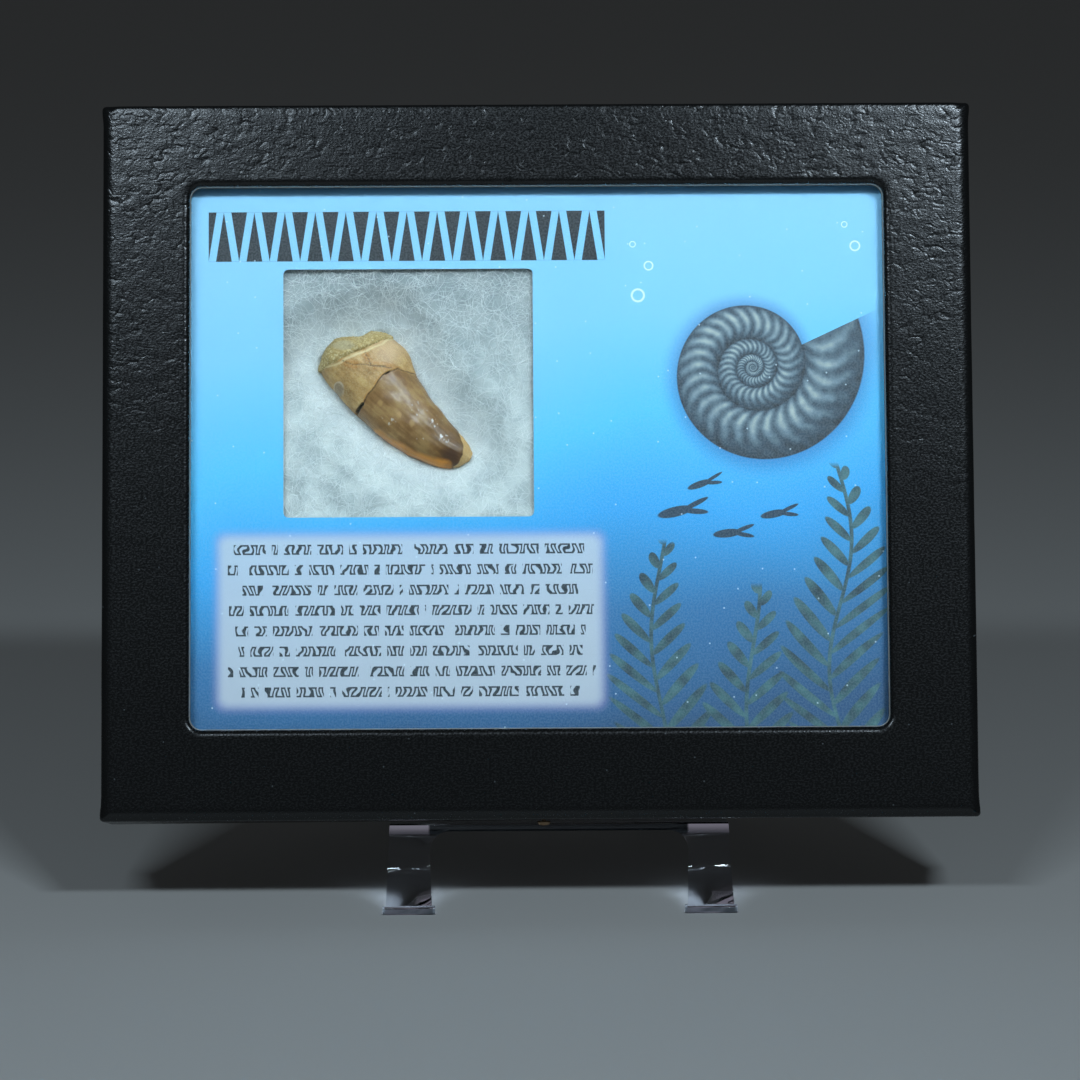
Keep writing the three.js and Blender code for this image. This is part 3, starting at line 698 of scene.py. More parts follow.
def fibre_mass():
    """Polyester fibre fill as a mass: white and soft, a little greyer where it is thin, with
    painted shade towards the top and painted light where it dips round the tooth.
    """
    material, tree = new_material("polyester_fibre_mass")
    place = case_millimetres(tree)
    clouds = add(tree, "TexNoise", {"Vector": place, "Scale": 1 / 5.0, "Detail": 3.0,
                                    "Roughness": 0.6}, noise_dimensions="2D")
    thin = add(tree, "MapRange", {"Value": clouds, "From Min": 0.34, "From Max": 0.62})
    colour = blend(tree, thin, "#bcc3c0", "#dde1dc")
    # Painted shade: greyer towards the top of the cut-out, under the card's edge.
    up = add(tree, "SeparateXYZ", {0: place}, output=1)
    high = add(tree, "MapRange", {"Value": up, "From Min": 74.0, "From Max": 101.0,
                                  "To Max": 0.68})
    colour = blend(tree, high, colour, "#8a9294")
    # Painted light: paler where the fill dips round the tooth, lifting the shade of that hollow.
    nest = add(tree, "Attribute", output="Fac", attribute_name="nest")
    colour = blend(tree, nest, colour, "#f6f7f6")
    threads = add(tree, "TexNoise", {"Vector": place, "Scale": 1 / 0.8, "Detail": 3.0,
                                     "Roughness": 0.7, "Distortion": 2.2}, noise_dimensions="2D")
    bump = add(tree, "Bump", {"Height": threads, "Strength": 0.6, "Distance": 0.25 * MM})
    return finished(material, {
        "Base Color": colour, "Roughness": 0.95, "IOR": 1.45, "Normal": bump,
    })


def fibre_strand():
    """Single polyester fibres: white, with a faint gloss along each one."""
    material, tree = new_material("polyester_fibre_strands")
    place = case_millimetres(tree)
    shade = add(tree, "TexNoise", {"Vector": place, "Scale": 1 / 5.0, "Detail": 0.0},
                noise_dimensions="2D")
    colour = blend(tree, shade, "#edf0ee", "#fffffb")
    bump = add(tree, "Bump", {"Height": shade, "Strength": 0.1, "Distance": 0.02 * MM})
    return finished(material, {
        "Base Color": colour, "Roughness": 0.55, "IOR": 1.5, "Normal": bump,
    })


def fossil_enamel():
    """Fossil enamel: glossy brown crown, darker towards the tip, with fine lengthwise
    streaks and cracks, near black in the open crack gaps as painted shade; duller, golden tan
    round the base; orange where it is worn."""
    material, tree = new_material("fossil_tooth_enamel")
    place = case_millimetres(tree)
    clouds = add(tree, "TexNoise", {"Vector": place, "Scale": 1 / 3.2, "Detail": 4.0,
                                    "Roughness": 0.6})
    drawn_out = add(
        tree, "Mapping",
        {"Vector": place, "Rotation": (0, 0, math.radians(-43)), "Scale": (5.0, 0.7, 1.0)},
        vector_type="TEXTURE",
    )
    streaks = add(tree, "TexNoise", {"Vector": drawn_out, "Scale": 1.0, "Detail": 3.0})
    grains = add(tree, "TexNoise", {"Vector": place, "Scale": 1 / 0.35, "Detail": 2.0})
    tone = add(tree, "Math", {0: streaks, 1: 0.6, 2: -0.3}, operation="MULTIPLY_ADD")
    tone = add(tree, "Math", {0: clouds, 1: tone}, operation="ADD")
    crown, low_crown, collar = (
        add(tree, "ValToRGB", {"Fac": tone}, stops=zip((0.34, 0.66, 0.5), shades))
        for shades in (("#835c32", "#ac8654", "#966e41"), ("#5c3d1b", "#866437", "#714e26"),
                       ("#a0743a", "#cfa668", "#bc8f53")))
    layers = {
        "lower_crown": low_crown, "tip_brown": "#4b3020", "collar": collar, "pink": "#e3bb95",
        "stain": "#c98434", "worn": "#dc8e35", "chip": "#cb9f62", "facet": "#8d7a68",
        "spot": "#cda266", "facet_rim": "#dcd2c4", "fleck": "#e4ddd2", "rim": "#e8d09c",
        # slot: painted shade, near black, in the open crack gaps
        "crack": "#4f3113", "slot": "#171009",
    }
    mask = {name: add(tree, "Attribute", output="Fac", attribute_name=name) for name in layers}
    colour = crown
    for name, over in layers.items():
        colour = blend(tree, mask[name], colour, over)
    dull = add(tree, "Math", {0: mask["collar"], 1: mask["chip"]}, operation="MAXIMUM")
    dust = add(
        tree, "MapRange",
        {"Value": grains, "From Min": 0.42, "From Max": 0.7, "To Min": 0.0, "To Max": 0.3},
    )
    dusty = add(tree, "Math", {0: dust, 1: dull}, operation="MULTIPLY")
    colour = blend(tree, dusty, colour, "#e2c797")
    height = add(tree, "Math", {0: grains, 1: 0.35, 2: streaks}, operation="MULTIPLY_ADD")
    bump = add(tree, "Bump", {"Height": height, "Strength": 0.8, "Distance": 0.06 * MM})
    gloss = add(tree, "MapRange", {"Value": dull, "To Min": 0.34, "To Max": 0.52})
    return finished(material, {
        "Base Color": colour, "Roughness": gloss, "IOR": 1.55, "Normal": bump,
    })


def phosphate_sand():
    """Phosphate sand, hardened in the broken base: fine dull grains, straw to olive."""
    material, tree = new_material("hardened_phosphate_sand")
    place = case_millimetres(tree)
    patch = add(tree, "Attribute", output="Fac", attribute_name="pale_patch")
    grains = add(tree, "TexVoronoi", {"Vector": place, "Scale": 1 / 0.28}, output="Color")
    tone = add(tree, "SeparateXYZ", {0: grains})
    clouds = add(tree, "TexNoise", {"Vector": place, "Scale": 1 / 1.6, "Detail": 4.0})
    sand = add(
        tree, "ValToRGB", {"Fac": tone},
        stops=[(0.0, "#7d5f2c"), (1.0, "#efdfb2"), (0.3, "#ab8a4c"), (0.75, "#cbae73")],
    )
    ground = blend(tree, clouds, "#987b3d", "#dcbf88")
    colour = blend(tree, 0.5, ground, sand)
    pale = add(tree, "Math", {0: patch, 1: 0.75}, operation="MULTIPLY")
    colour = blend(tree, pale, colour, "#bba983")
    lumps = add(tree, "TexNoise", {"Vector": place, "Scale": 1 / 0.35, "Detail": 3.0})
    bump = add(tree, "Bump", {"Height": lumps, "Strength": 0.9, "Distance": 0.2 * MM})
    return finished(material, {
        "Base Color": colour, "Roughness": 0.8, "IOR": 1.5, "Normal": bump,
    })


def studio_floor():
    """Plain pale studio paper."""
    material, tree = new_material("pale_studio_paper")
    return finished(material, {"Base Color": "#d3d1cd", "Roughness": 0.9})


# ---- the lid -----------------------------------------------------------------------

SIDE_STEPS = (285, 235, 285, 235)  # top, left, bottom and right, about 0.56 mm apart
CORNER_STEPS = 8
ROLL_WIDTH, ROLL_DEPTH = 1.15, 0.75  # the leatherette's rolled edge round the window
CUT_EDGE_WIDTH = 0.2
EDGE_ROUNDING, EDGE_SOFTNESS = 1.0, 2.2  # the outer edge eases over, back and in


def rounded_ring(width, height, radius, centre_up):
    """Points round a rounded rectangle, alike in number for every ring."""
    arcs = []
    for quarter, (side, end) in enumerate([(1, 1), (-1, 1), (-1, -1), (1, -1)]):
        turns = quarter * math.pi / 2 + np.linspace(0, math.pi / 2, CORNER_STEPS)
        middle = np.array([side * (width / 2 - radius), end * (height / 2 - radius)])
        arcs.append(middle + radius * np.stack([np.cos(turns), np.sin(turns)], axis=1))
    ring = []
    for quarter, steps in enumerate(SIDE_STEPS):
        start, finish = arcs[quarter][-1], arcs[(quarter + 1) % 4][0]
        shares = np.linspace(0, 1, steps + 2)[1:-1, None]
        ring += [arcs[quarter], start + (finish - start) * shares]
    return np.concatenate(ring) + (0, centre_up)


def window_ring(growth):
    """The window's border, moved outwards."""
    return rounded_ring(
        WINDOW_SIZE[0] + 2 * growth, WINDOW_SIZE[1] + 2 * growth,
        WINDOW_RADIUS + growth, WINDOW_UP,
    )


def case_ring(inset, radius=0.6):
    """The case's border, moved inwards."""
    return rounded_ring(
        CASE_WIDTH - 2 * inset, CASE_HEIGHT - 2 * inset, max(radius - inset, 0.15),
        CASE_HEIGHT / 2,
    )


def swell_corners(grid):
    """The leatherette's folded paper stands out a little at the four corners."""
    reach, swelling = 1.6, 0.22
    middle = np.array([0.0, CASE_HEIGHT / 2])
    corner = np.array([CASE_WIDTH, CASE_HEIGHT]) / 2
    beside = np.abs(grid[..., :2] - middle) - corner
    near = np.exp(-((beside[..., 0] / reach) ** 2 + ((beside[..., 1] + 1.0) / reach) ** 2))
    outside = smooth_step(-1.0, 0.0, beside[..., 0]) * (grid[..., 2] < -0.2)
    grid[..., 0] += swelling * near * outside * np.sign(grid[..., 0])


def flatten_top_edge(grid):
    """Along the top the board's edge slopes gently first and turns over more tightly."""
    slope, slope_width, turn = 0.09, 2.0, 0.45
    inset = CASE_HEIGHT - grid[..., 1]
    sloped = slope / (2 * slope_width) * np.maximum(slope_width - inset, 0.0) ** 2
    past = np.clip(turn - inset, 0.0, turn) / turn
    depth = sloped + 0.5 * (1 - np.sqrt(1 - past**2))
    share = smooth_step(1.0, 3.0, CASE_WIDTH / 2 - np.abs(grid[..., 0]))
    share = share * (-grid[..., 2] <= EDGE_ROUNDING) * (inset < slope_width + 0.5)
    grid[..., 2] -= share * (depth + grid[..., 2])


def lid_rows():
    """(ring, depth, finish) from the cut edge of the window out over the face, down the
    skirt and back inside. Finish 0 is leatherette, 1 cut board and 2 lining."""
    rows = [
        (window_ring(-CUT_EDGE_WIDTH), BOARD, 2),
        (window_ring(-CUT_EDGE_WIDTH), ROLL_DEPTH + 0.5, 1),
        (window_ring(0.0), ROLL_DEPTH + 0.06, 1),
    ]
    for turn in np.linspace(0, math.pi / 2, 7):
        growth = ROLL_WIDTH * (1 - math.cos(turn))
        rows.append((window_ring(growth), ROLL_DEPTH * (1 - math.sin(turn)), 0))
    inner, outer = window_ring(ROLL_WIDTH), case_ring(EDGE_SOFTNESS)
    for share in np.linspace(0, 1, 32)[1:]:
        rows.append((inner + (outer - inner) * share, 0.0, 0))
    for turn in np.linspace(0, math.pi / 2, 9)[1:]:
        inset = EDGE_SOFTNESS * (1 - math.sin(turn))
        rows.append((case_ring(inset), EDGE_ROUNDING * (1 - math.cos(turn)), 0))
    for depth in np.linspace(EDGE_ROUNDING, LID_DEPTH - 0.6, 18)[1:]:
        rows.append((case_ring(0.0), depth, 0))
    for turn in np.linspace(0, math.pi, 8)[1:]:
        inset = BOARD / 2 * (1 - math.cos(turn))
        rows.append((case_ring(inset), LID_DEPTH - 0.6 + 0.6 * math.sin(turn), 0))
    for depth in np.linspace(LID_DEPTH - 0.6, BOARD, 6)[1:]:
        rows.append((case_ring(BOARD), depth, 2))
    inner, outer = case_ring(BOARD), window_ring(-CUT_EDGE_WIDTH)
    for share in np.linspace(0, 1, 5)[1:-1]:
        rows.append((inner + (outer - inner) * share, BOARD, 2))
    return rows


def coarse_grain(grid):
    """The grain is coarse in patches along the top, and faint lower down."""
    patches = layered_noise(grid, 16.0, 2, seed=5)
    height = smooth_step(20.0, 122.0, grid[..., 1])
    return np.clip(0.95 * height**1.4 + 0.45 * patches * (0.2 + height), 0.0, 1.0)


def crease_gaps(places, spacing):
    """How far points are from the borders of irregular cells of about this spacing."""
    count = int(CASE_WIDTH * CASE_HEIGHT / spacing**2)
    seeds = random.uniform((-CASE_WIDTH / 2, 0.0), (CASE_WIDTH / 2, CASE_HEIGHT), (count, 2))
    tree = KDTree(count)
    for index, seed in enumerate(seeds):
        tree.insert((*seed, 0.0), index)
    tree.balance()
    gaps = [[found[2] for found in tree.find_n((*place, 0.0), 2)]
            for place in places.reshape(-1, 2).tolist()]
    gaps = np.array(gaps)
    return (gaps[:, 1] - gaps[:, 0]).reshape(places.shape[:-1])


def make_lid(materials):
    """The lid's board in its leatherette, which waves, wrinkles and creases a little."""
    wave_depth, wrinkle_depth, crease_depth, crease_spacing = 0.05, 0.01, 0.02, 4.2
    rows = lid_rows()
    grid = np.array([np.column_stack([ring, np.full(len(ring), -depth)])
                     for ring, depth, _ in rows])
    across, up, depth = grid[..., 0], grid[..., 1], -grid[..., 2]
    low_skirt = smooth_step(BOARD + 0.4, BOARD - 0.4, up)
    grid[..., 1] += SKIRT_RISE * (across / CASE_WIDTH + 0.5) * depth / LID_DEPTH * low_skirt

    swell_corners(grid)
    flatten_top_edge(grid)

    normals = grid_normals(grid, wrap_rows=True)
    leather = np.array([finish == 0 for _, _, finish in rows], float)[:, None]
    coarse = coarse_grain(grid)
    waves = 0.5 - 0.5 * layered_noise(grid, 9.0, 3, seed=3)
    wrinkles = 0.5 - 0.5 * layered_noise(grid * (1.0, 1.6, 1.0), 2.4, 2, seed=9)
    bent = grid[..., :2] + 0.8 * np.stack(
        [layered_noise(grid, 2.0, 2, seed=7), layered_noise(grid, 2.0, 2, seed=8)], axis=-1)
    creases = smooth_step(0.9, 0.1, crease_gaps(bent, crease_spacing)) * (grid[..., 2] > -0.5)
    sunk = (wave_depth * waves + wrinkle_depth * (1 + coarse) * wrinkles
            + crease_depth * coarse * creases)
    grid -= normals * (leather * sunk)[..., None]

    count = len(rows[0][0])
    faces = grid_faces(len(rows), count, wrap_rows=True)
    finishes = np.repeat([finish for _, _, finish in rows], count)
    lid = new_piece("lid", in_case(grid), faces, materials,
                    face_materials=finishes)
    paint_mask(lid, "coarse_grain", coarse.ravel())
    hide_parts("case_lid")


# ---- the tooth ---------------------------------------------------------------------

TOOTH_RINGS, TOOTH_SIDES, TIP_RINGS = 240, 210, 10
MAIN_CRACK = [
    (-33.9, 74.5), (-32.06, 76.5), (-31.8, 76.8), (-31.3, 77.9), (-29.8, 79.4),
    (-28.9, 80.9), (-28.1, 81.8), (-26.85, 82.4), (-25.7, 82.8), (-22.6, 82.3),
]
CRACK_SLOTS = (([(-33.7, 74.7), (-32.2, 76.4)], 0.3), ([(-27.9, 81.85), (-27.3, 82.15)], 0.1))
FINE_CRACKS = (
    [(-35.8, 84.3), (-34.0, 83.6), (-30.9, 83.5), (-28.0, 83.3)],
    [(-31.8, 85.8), (-30.7, 83.7)],
    [(-30.9, 83.5), (-26.9, 83.0)],
)
WORN_EDGE = [(-29.6, 70.9), (-26.6, 68.7), (-23.4, 66.9), (-20.2, 65.7), (-17.0, 64.9)]
RIM_LINE = [(-40.2, 83.0), (-36.0, 84.0), (-35.3, 84.7), (-32.2, 85.9), (-29.5, 87.0),
            (-27.7, 88.2), (-26.6, 89.0)]
CHIP_LINE = [(-15.6, 64.7), (-14.4, 65.6), (-13.8, 67.0), (-13.7, 68.6), (-14.0, 70.3),
             (-14.6, 71.6)]
FACET_CENTRE, FACET_HALVES = (-36.6, 79.3), (0.9, 1.25)
FLECK_PATCHES = ((-27.4, 73.2, 2.0), (-22.3, 75.0, 2.6), (-18.9, 73.2, 2.0),
                 (-17.4, 70.6, 2.2), (-21.6, 70.4, 1.6))
TAN_SPOTS = ((-25.5, 74.1), (-23.0, 72.8), (-28.95, 76.3))
TIP_BROWN_PLACE = (-15.9, 66.5)
PINK_PLACE = (-27.4, 86.3)


def tooth_ring(along):
    """(middle, half chord, half depth) of the tooth's section at a share of its length."""
    lower = curve_through(TOOTH_LOWER_SIDE, along)
    upper = curve_through(TOOTH_UPPER_SIDE, along)
    return (lower + upper) / 2, (upper - lower) / 2, TOOTH_FLATNESS * np.linalg.norm(
        (upper - lower) / 2, axis=-1)


def tooth_depth(along):
    """How deep the tooth's middle lies at a share of its length."""
    return TOOTH_BASE_DEPTH + (TOOTH_TIP_DEPTH - TOOTH_BASE_DEPTH) * along


def unevenness(points, wavelength):
    """The same broad unevenness as the solid's."""
    step = 2 * math.pi / wavelength
    x, y, z = (points[..., axis] * step for axis in range(3))
    first = np.sin(x + 1.3 * np.sin(0.7 * y))
    second = np.sin(1.2 * y + 1.1 * np.sin(z))
    third = np.sin(1.1 * z + 1.7 * np.sin(0.8 * x))
    return (first + second + third) / 3


def tooth_grid():
    """The tooth's plain surface, ring by ring from its base, with its rounded tip."""
    along = np.linspace(0, 1, TOOTH_RINGS)
    middle, chord, half_depth = tooth_ring(along)
    turns = np.linspace(0, 2 * math.pi, TOOTH_SIDES, endpoint=False)
    centre = np.column_stack([middle, -tooth_depth(along)])
    cap = np.linspace(0, math.pi / 2, TIP_RINGS + 1)[1:-1]
    tip = np.array([*TOOTH_TIP, -TOOTH_TIP_DEPTH])
    centre = np.vstack([centre, centre[-1] + (tip - centre[-1]) * np.sin(cap)[:, None]])
    chord = np.vstack([chord, chord[-1] * np.cos(cap)[:, None]])
    half_depth = np.concatenate([half_depth, half_depth[-1] * np.cos(cap)])
    grid = np.repeat(centre[:, None, :], TOOTH_SIDES, axis=1)
    grid[..., :2] += np.cos(turns)[None, :, None] * chord[:, None, :]
    grid[..., 2] += np.sin(turns)[None, :] * half_depth[:, None]
    shares = np.concatenate([along, np.ones(len(cap))])
    return grid, np.repeat(shares[:, None], TOOTH_SIDES, axis=1), turns


def near_place(places, place, full, none):
    """1 within the first distance of a place, 0 beyond the second."""
    return smooth_step(none, full, np.linalg.norm(places - place, axis=-1))


def tooth_gaps(grid):
    """How far each point is from the cracks, and from the facet and chip borders."""
    places = grid[..., :2]
    wander = np.stack([layered_noise(grid, 1.6, 3, seed=21),
                       layered_noise(grid, 1.6, 3, seed=22)], axis=-1)
    places = places + 0.28 * wander
    chip_across = np.interp(places[..., 1], [up for _, up in CHIP_LINE],
                            [across for across, _ in CHIP_LINE])
    return {
        "places": places,
        "wander": wander,
        "crack": distance_to_line(places, MAIN_CRACK),
        "slot": np.minimum(*(distance_to_line(grid[..., :2] + 0.16 * wander, slot) - width
                             for slot, width in CRACK_SLOTS)),
        "fine": np.min([distance_to_line(places, line) for line in FINE_CRACKS], axis=0),
        "facet": np.linalg.norm((places - FACET_CENTRE) / FACET_HALVES, axis=-1),
        "past_chip": places[..., 0] - chip_across,
        "past_crack": places[..., 1] - np.interp(
            places[..., 0], [across for across, _ in MAIN_CRACK],
            [up for _, up in MAIN_CRACK]),
    }


def tooth_masks(grid, along, front, gaps):
    """Where each marking of the tooth lies, from 0 to 1 at each point."""
    places, wander = gaps["places"], gaps["wander"]
    blotch = layered_noise(grid, 2.6, 4, seed=31)
    blur = 0.3 + 1.3 * smooth_step(-29.0, -24.5, places[..., 0])
    collar_front = smooth_step(0.0, 1.0, gaps["past_crack"] / blur + 0.5)
    collar_back = smooth_step(0.40, 0.30, along + 0.02 * wander[..., 0])
    collar = collar_front * front + collar_back * (1 - front)

    patch = np.max([near_place(places, spot[:2], 0.2 * spot[2], spot[2])
                    for spot in FLECK_PATCHES], axis=0)
    crumbs = layered_noise(grid, 0.42, 2, seed=33)
    fleck = 0.75 * smooth_step(0.5, 0.66, crumbs + 0.16 * patch) * patch
    near_cracks = smooth_step(1.3, 0.2, np.minimum(gaps["fine"], 1.8 * gaps["crack"]))
    ring = smooth_step(0.22, 0.06, np.abs(gaps["facet"] - 1.0))
    return {
        "collar": collar,
        "pink": front * collar * near_place(places, PINK_PLACE, 0.5, 4.2) * 0.6,
        "lower_crown": smooth_step(0.36, 0.86, along + 0.12 * blotch),
        "tip_brown": front * near_place(places, TIP_BROWN_PLACE, 0.8, 2.6) * 0.9,
        "worn": smooth_step(1.5, 0.7, distance_to_line(places, WORN_EDGE)) * (
            0.6 + 0.4 * smooth_step(-0.4, 0.2, blotch)),
        "chip": smooth_step(-0.1, 0.15, gaps["past_chip"]),
        "stain": 0.5 * front * collar * smooth_step(0.15, 0.8, near_cracks * (0.7 + blotch)),
        "facet": 0.7 * front * smooth_step(1.05, 0.7, gaps["facet"]),
        "facet_rim": 0.5 * front * ring * smooth_step(-0.2, 0.3, wander[..., 0] + 0.1),
        "crack": front * np.maximum(0.95 * smooth_step(0.16, 0.05, gaps["crack"]),
                                    0.85 * smooth_step(0.14, 0.04, gaps["fine"])),
        # Painted shade in the open crack gaps.
        "slot": front * smooth_step(0.1, -0.05, gaps["slot"]),
        "fleck": front * fleck,
        "spot": 0.55 * front * np.max([near_place(places + 0.2 * wander, spot, 0.2, 0.75)
                                       for spot in TAN_SPOTS], axis=0),
        "rim": 0.8 * front * smooth_step(0.3, 0.08, distance_to_line(places, RIM_LINE)),
    }


def make_tooth(material):
    """The tooth with its cracks, chip, facet and broken base, and where its colours lie."""
    grid, along, turns = tooth_grid()
    front = smooth_step(-0.15, 0.15, np.sin(turns))[None, :] * np.ones_like(along)
    gaps = tooth_gaps(grid)
    masks = tooth_masks(grid, along, front, gaps)
    half_width = np.linalg.norm(tooth_ring(np.linspace(0, 1, TOOTH_RINGS))[1], axis=-1)
    half_width = np.concatenate([half_width, np.full(TIP_RINGS - 1, half_width[-1])])

    normals = grid_normals(grid)
    outward = np.sign(np.sum(normals * (grid - grid.mean(axis=1, keepdims=True)), axis=-1))
    normals *= outward[..., None]
    swell = 0.12 * unevenness(grid, 5.0) - 0.05
    ridges = 0.012 * np.sin(turns * 26)[None, :] * smooth_step(0.2, 0.5, along)
    pits = 0.035 * layered_noise(grid, 1.3, 3, seed=41)
    crumble = 0.10 * layered_noise(grid, 0.7, 3, seed=42) * masks["chip"]
    groove = -front * (0.12 * smooth_step(0.16, 0.0, gaps["crack"])
                       + 0.7 * smooth_step(0.1, -0.15, gaps["slot"])
                       + 0.07 * smooth_step(0.14, 0.0, gaps["fine"]))
    step = 0.07 * masks["collar"]
    dish = -front * 0.10 * smooth_step(1.0, 0.6, gaps["facet"])
    chipped = -0.16 * smooth_step(-0.08, 0.12, gaps["past_chip"])
    fade = np.minimum(1.0, half_width / 1.5)[:, None]
    grid = grid + normals * ((swell + ridges + pits + crumble) * fade + groove + step + dish
                             + chipped * fade)[..., None]

    broken = 0.22 * layered_noise(grid, 1.4, 3, seed=51) * smooth_step(0.10, 0.0, along)
    axis = grid[1].mean(axis=0) - grid[0].mean(axis=0)
    axis /= np.linalg.norm(axis)
    grid = grid + broken[..., None] * axis

    rings, sides = grid.shape[:2]
    base = grid[0].mean(axis=0) + 0.9 * axis
    points = np.vstack([grid.reshape(-1, 3), base, [*TOOTH_TIP, -TOOTH_TIP_DEPTH]])
    faces = grid_faces(rings, sides)
    faces += fan_faces(0, sides, rings * sides, flip=True)
    faces += fan_faces((rings - 1) * sides, sides, rings * sides + 1)
    tooth = new_piece("tooth", in_case(points), faces, [material])
    for name, values in masks.items():
        paint_mask(tooth, name, np.append(values.ravel(), [values[0, 0], values[-1, 0]]))
    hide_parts("mosasaur_tooth")


SEDIMENT_RINGS, SEDIMENT_SIDES = 70, 230
PALE_PATCH_CENTRE, PALE_PATCH_HALVES = (-35.6, 87.2), (2.3, 0.95)


def make_sediment(material):
    """A lumpy dome of sand on the tooth's broken base, let into it a little."""
    lower, upper = np.array(TOOTH_LOWER_SIDE[0]), np.array(TOOTH_UPPER_SIDE[0])
    chord = (upper - lower) / 2
    width = 2 * np.linalg.norm(chord)
    along = 2 * chord / width
    outward = np.array([-along[1], along[0], 0.0])
    centre = np.array([*(lower + upper) / 2, -TOOTH_BASE_DEPTH])
    turns = np.linspace(0, 2 * math.pi, SEDIMENT_SIDES, endpoint=False)
    edge = np.zeros((SEDIMENT_SIDES, 3))
    edge[:, :2] = np.cos(turns)[:, None] * chord
    edge[:, 2] = np.sin(turns) * np.linalg.norm(chord) * TOOTH_FLATNESS
    rows = []
    climbs = np.linspace(0, 1, SEDIMENT_RINGS)[:-1]
    for climb in climbs:
        spread = math.cos(climb * math.pi / 2) ** 0.55
        row = centre + edge * spread
        share = np.clip((row[:, :2] - lower) @ along / width, 0, 1) * (len(SEDIMENT_HEIGHTS) - 1)
        height = np.interp(share, range(len(SEDIMENT_HEIGHTS)), SEDIMENT_HEIGHTS)
        rise = math.sin(climb * math.pi / 2) * height
        rows.append(row + np.outer(rise, outward) - 0.25 * outward)
    grid = np.array(rows)
    normals = grid_normals(grid)
    facing = np.sign(np.sum(normals * (grid - centre), axis=-1))
    normals *= facing[..., None]
    lumps = (0.30 * layered_noise(grid, 2.2, 2, seed=61)
             + 0.20 * layered_noise(grid, 0.8, 3, seed=62))
    overhang = 0.35 * smooth_step(0.0, 0.12, climbs)[:, None]
    grid = grid + normals * (lumps * smooth_step(0.0, 0.1, climbs)[:, None] + overhang)[..., None]
    reach = np.linalg.norm((grid[..., :2] - PALE_PATCH_CENTRE) / PALE_PATCH_HALVES, axis=-1)
    patch = smooth_step(1.15, 0.75, reach + 0.35 * layered_noise(grid, 1.2, 3, seed=63))
    top = grid[-1].mean(axis=0) + 0.1 * outward
    floor = grid[0].mean(axis=0)
    points = np.vstack([grid.reshape(-1, 3), floor, top])
    count = len(climbs) * SEDIMENT_SIDES
    faces = grid_faces(len(climbs), SEDIMENT_SIDES)
    faces += fan_faces(0, SEDIMENT_SIDES, count, flip=True)
    faces += fan_faces(count - SEDIMENT_SIDES, SEDIMENT_SIDES, count + 1)
    faces = [tuple(reversed(face)) for face in faces]
    cap = new_piece("sediment", in_case(points), faces, [material])
    paint_mask(cap, "pale_patch", np.append(patch.ravel(), [0.0, 0.0]))
    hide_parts("sediment_cap")


# ---- the fibre fill ----------------------------------------------------------------

FINE_STEP, COARSE_STEP = 0.45, 5.0
NEST_WIDTH = 9.5  # how far from the tooth the fill dips
STRANDS, STRAND_STEPS, STRAND_SIDES = 3600, 9, 3
STRAND_RADII = (0.026, 0.052)


def tooth_outline():
    """Places round the tooth and its sediment, as seen from the front."""
    shares = np.linspace(0, 1, 40)
    lower = curve_through(TOOTH_LOWER_SIDE, shares)
    upper = curve_through(TOOTH_UPPER_SIDE, shares)
    start, end = lower[0], upper[0]
    along = (end - start) / np.linalg.norm(end - start)
    outward = np.array([-along[1], along[0]])
    heights = np.array(SEDIMENT_HEIGHTS) + 0.4
    crest = start + np.linspace(0, 1, len(heights))[:, None] * (end - start)
    crest = crest + heights[:, None] * outward
    return np.vstack([lower, [TOOTH_TIP], upper[::-1], crest[::-1]])


def inside_outline(places, outline):
    """Which places lie inside a closed outline."""
    x, y = places[..., 0], places[..., 1]
    inside = np.zeros(x.shape, bool)
    for (x1, y1), (x2, y2) in zip(outline, np.roll(outline, -1, axis=0)):
        crosses = (y1 > y) != (y2 > y)
        with np.errstate(divide="ignore", invalid="ignore"):
            meets = (x2 - x1) * (y - y1) / (y2 - y1) + x1
        inside ^= crosses & (x < meets)
    return inside


def fill_depth(places):
    """How deep the fill's surface lies: level, and dipped into a nest at the tooth."""
    nest_rise, hollow_depth = 0.15, 5.3
    outline = tooth_outline()
    flat = np.concatenate([places, np.zeros((*places.shape[:-1], 1))], axis=-1)
    lumps = 0.55 * layered_noise(flat, 7.0, 3, seed=71) + 0.16 * layered_noise(
        flat, 1.5, 3, seed=72)
    level = FILL_FRONT + 0.75 + lumps
    gap = distance_to_line(places, [*outline, outline[0]])
    inside = inside_outline(places, outline)
    gap = np.where(inside, -gap, gap)
    base = (TOOTH_LOWER_SIDE[0][0] + TOOTH_UPPER_SIDE[0][0]) / 2
    toward_tip = np.clip((places[..., 0] - base) / (TOOTH_TIP[0] - base), 0, 1)
    bottom = tooth_depth(toward_tip) + nest_rise
    nest = smooth_step(NEST_WIDTH, -0.4, gap + 0.4 * lumps)
    depth = level + (bottom - level) * nest
    behind = smooth_step(0.0, -3.0, gap) * hollow_depth
    return np.minimum(depth + behind, FILL_BACK - 0.3)


def fill_lines(centre, reach):
    """Grid lines, close together over the cut-out and wide apart elsewhere."""
    half = CUTOUT_SIZE / 2 + 2
    fine = np.arange(centre - half, centre + half, FINE_STEP)
    below = np.linspace(reach[0], fine[0], 2 + int((fine[0] - reach[0]) / COARSE_STEP))
    above = np.linspace(fine[-1], reach[1], 2 + int((reach[1] - fine[-1]) / COARSE_STEP))
    return np.concatenate([below[:-1], fine, above[1:]])


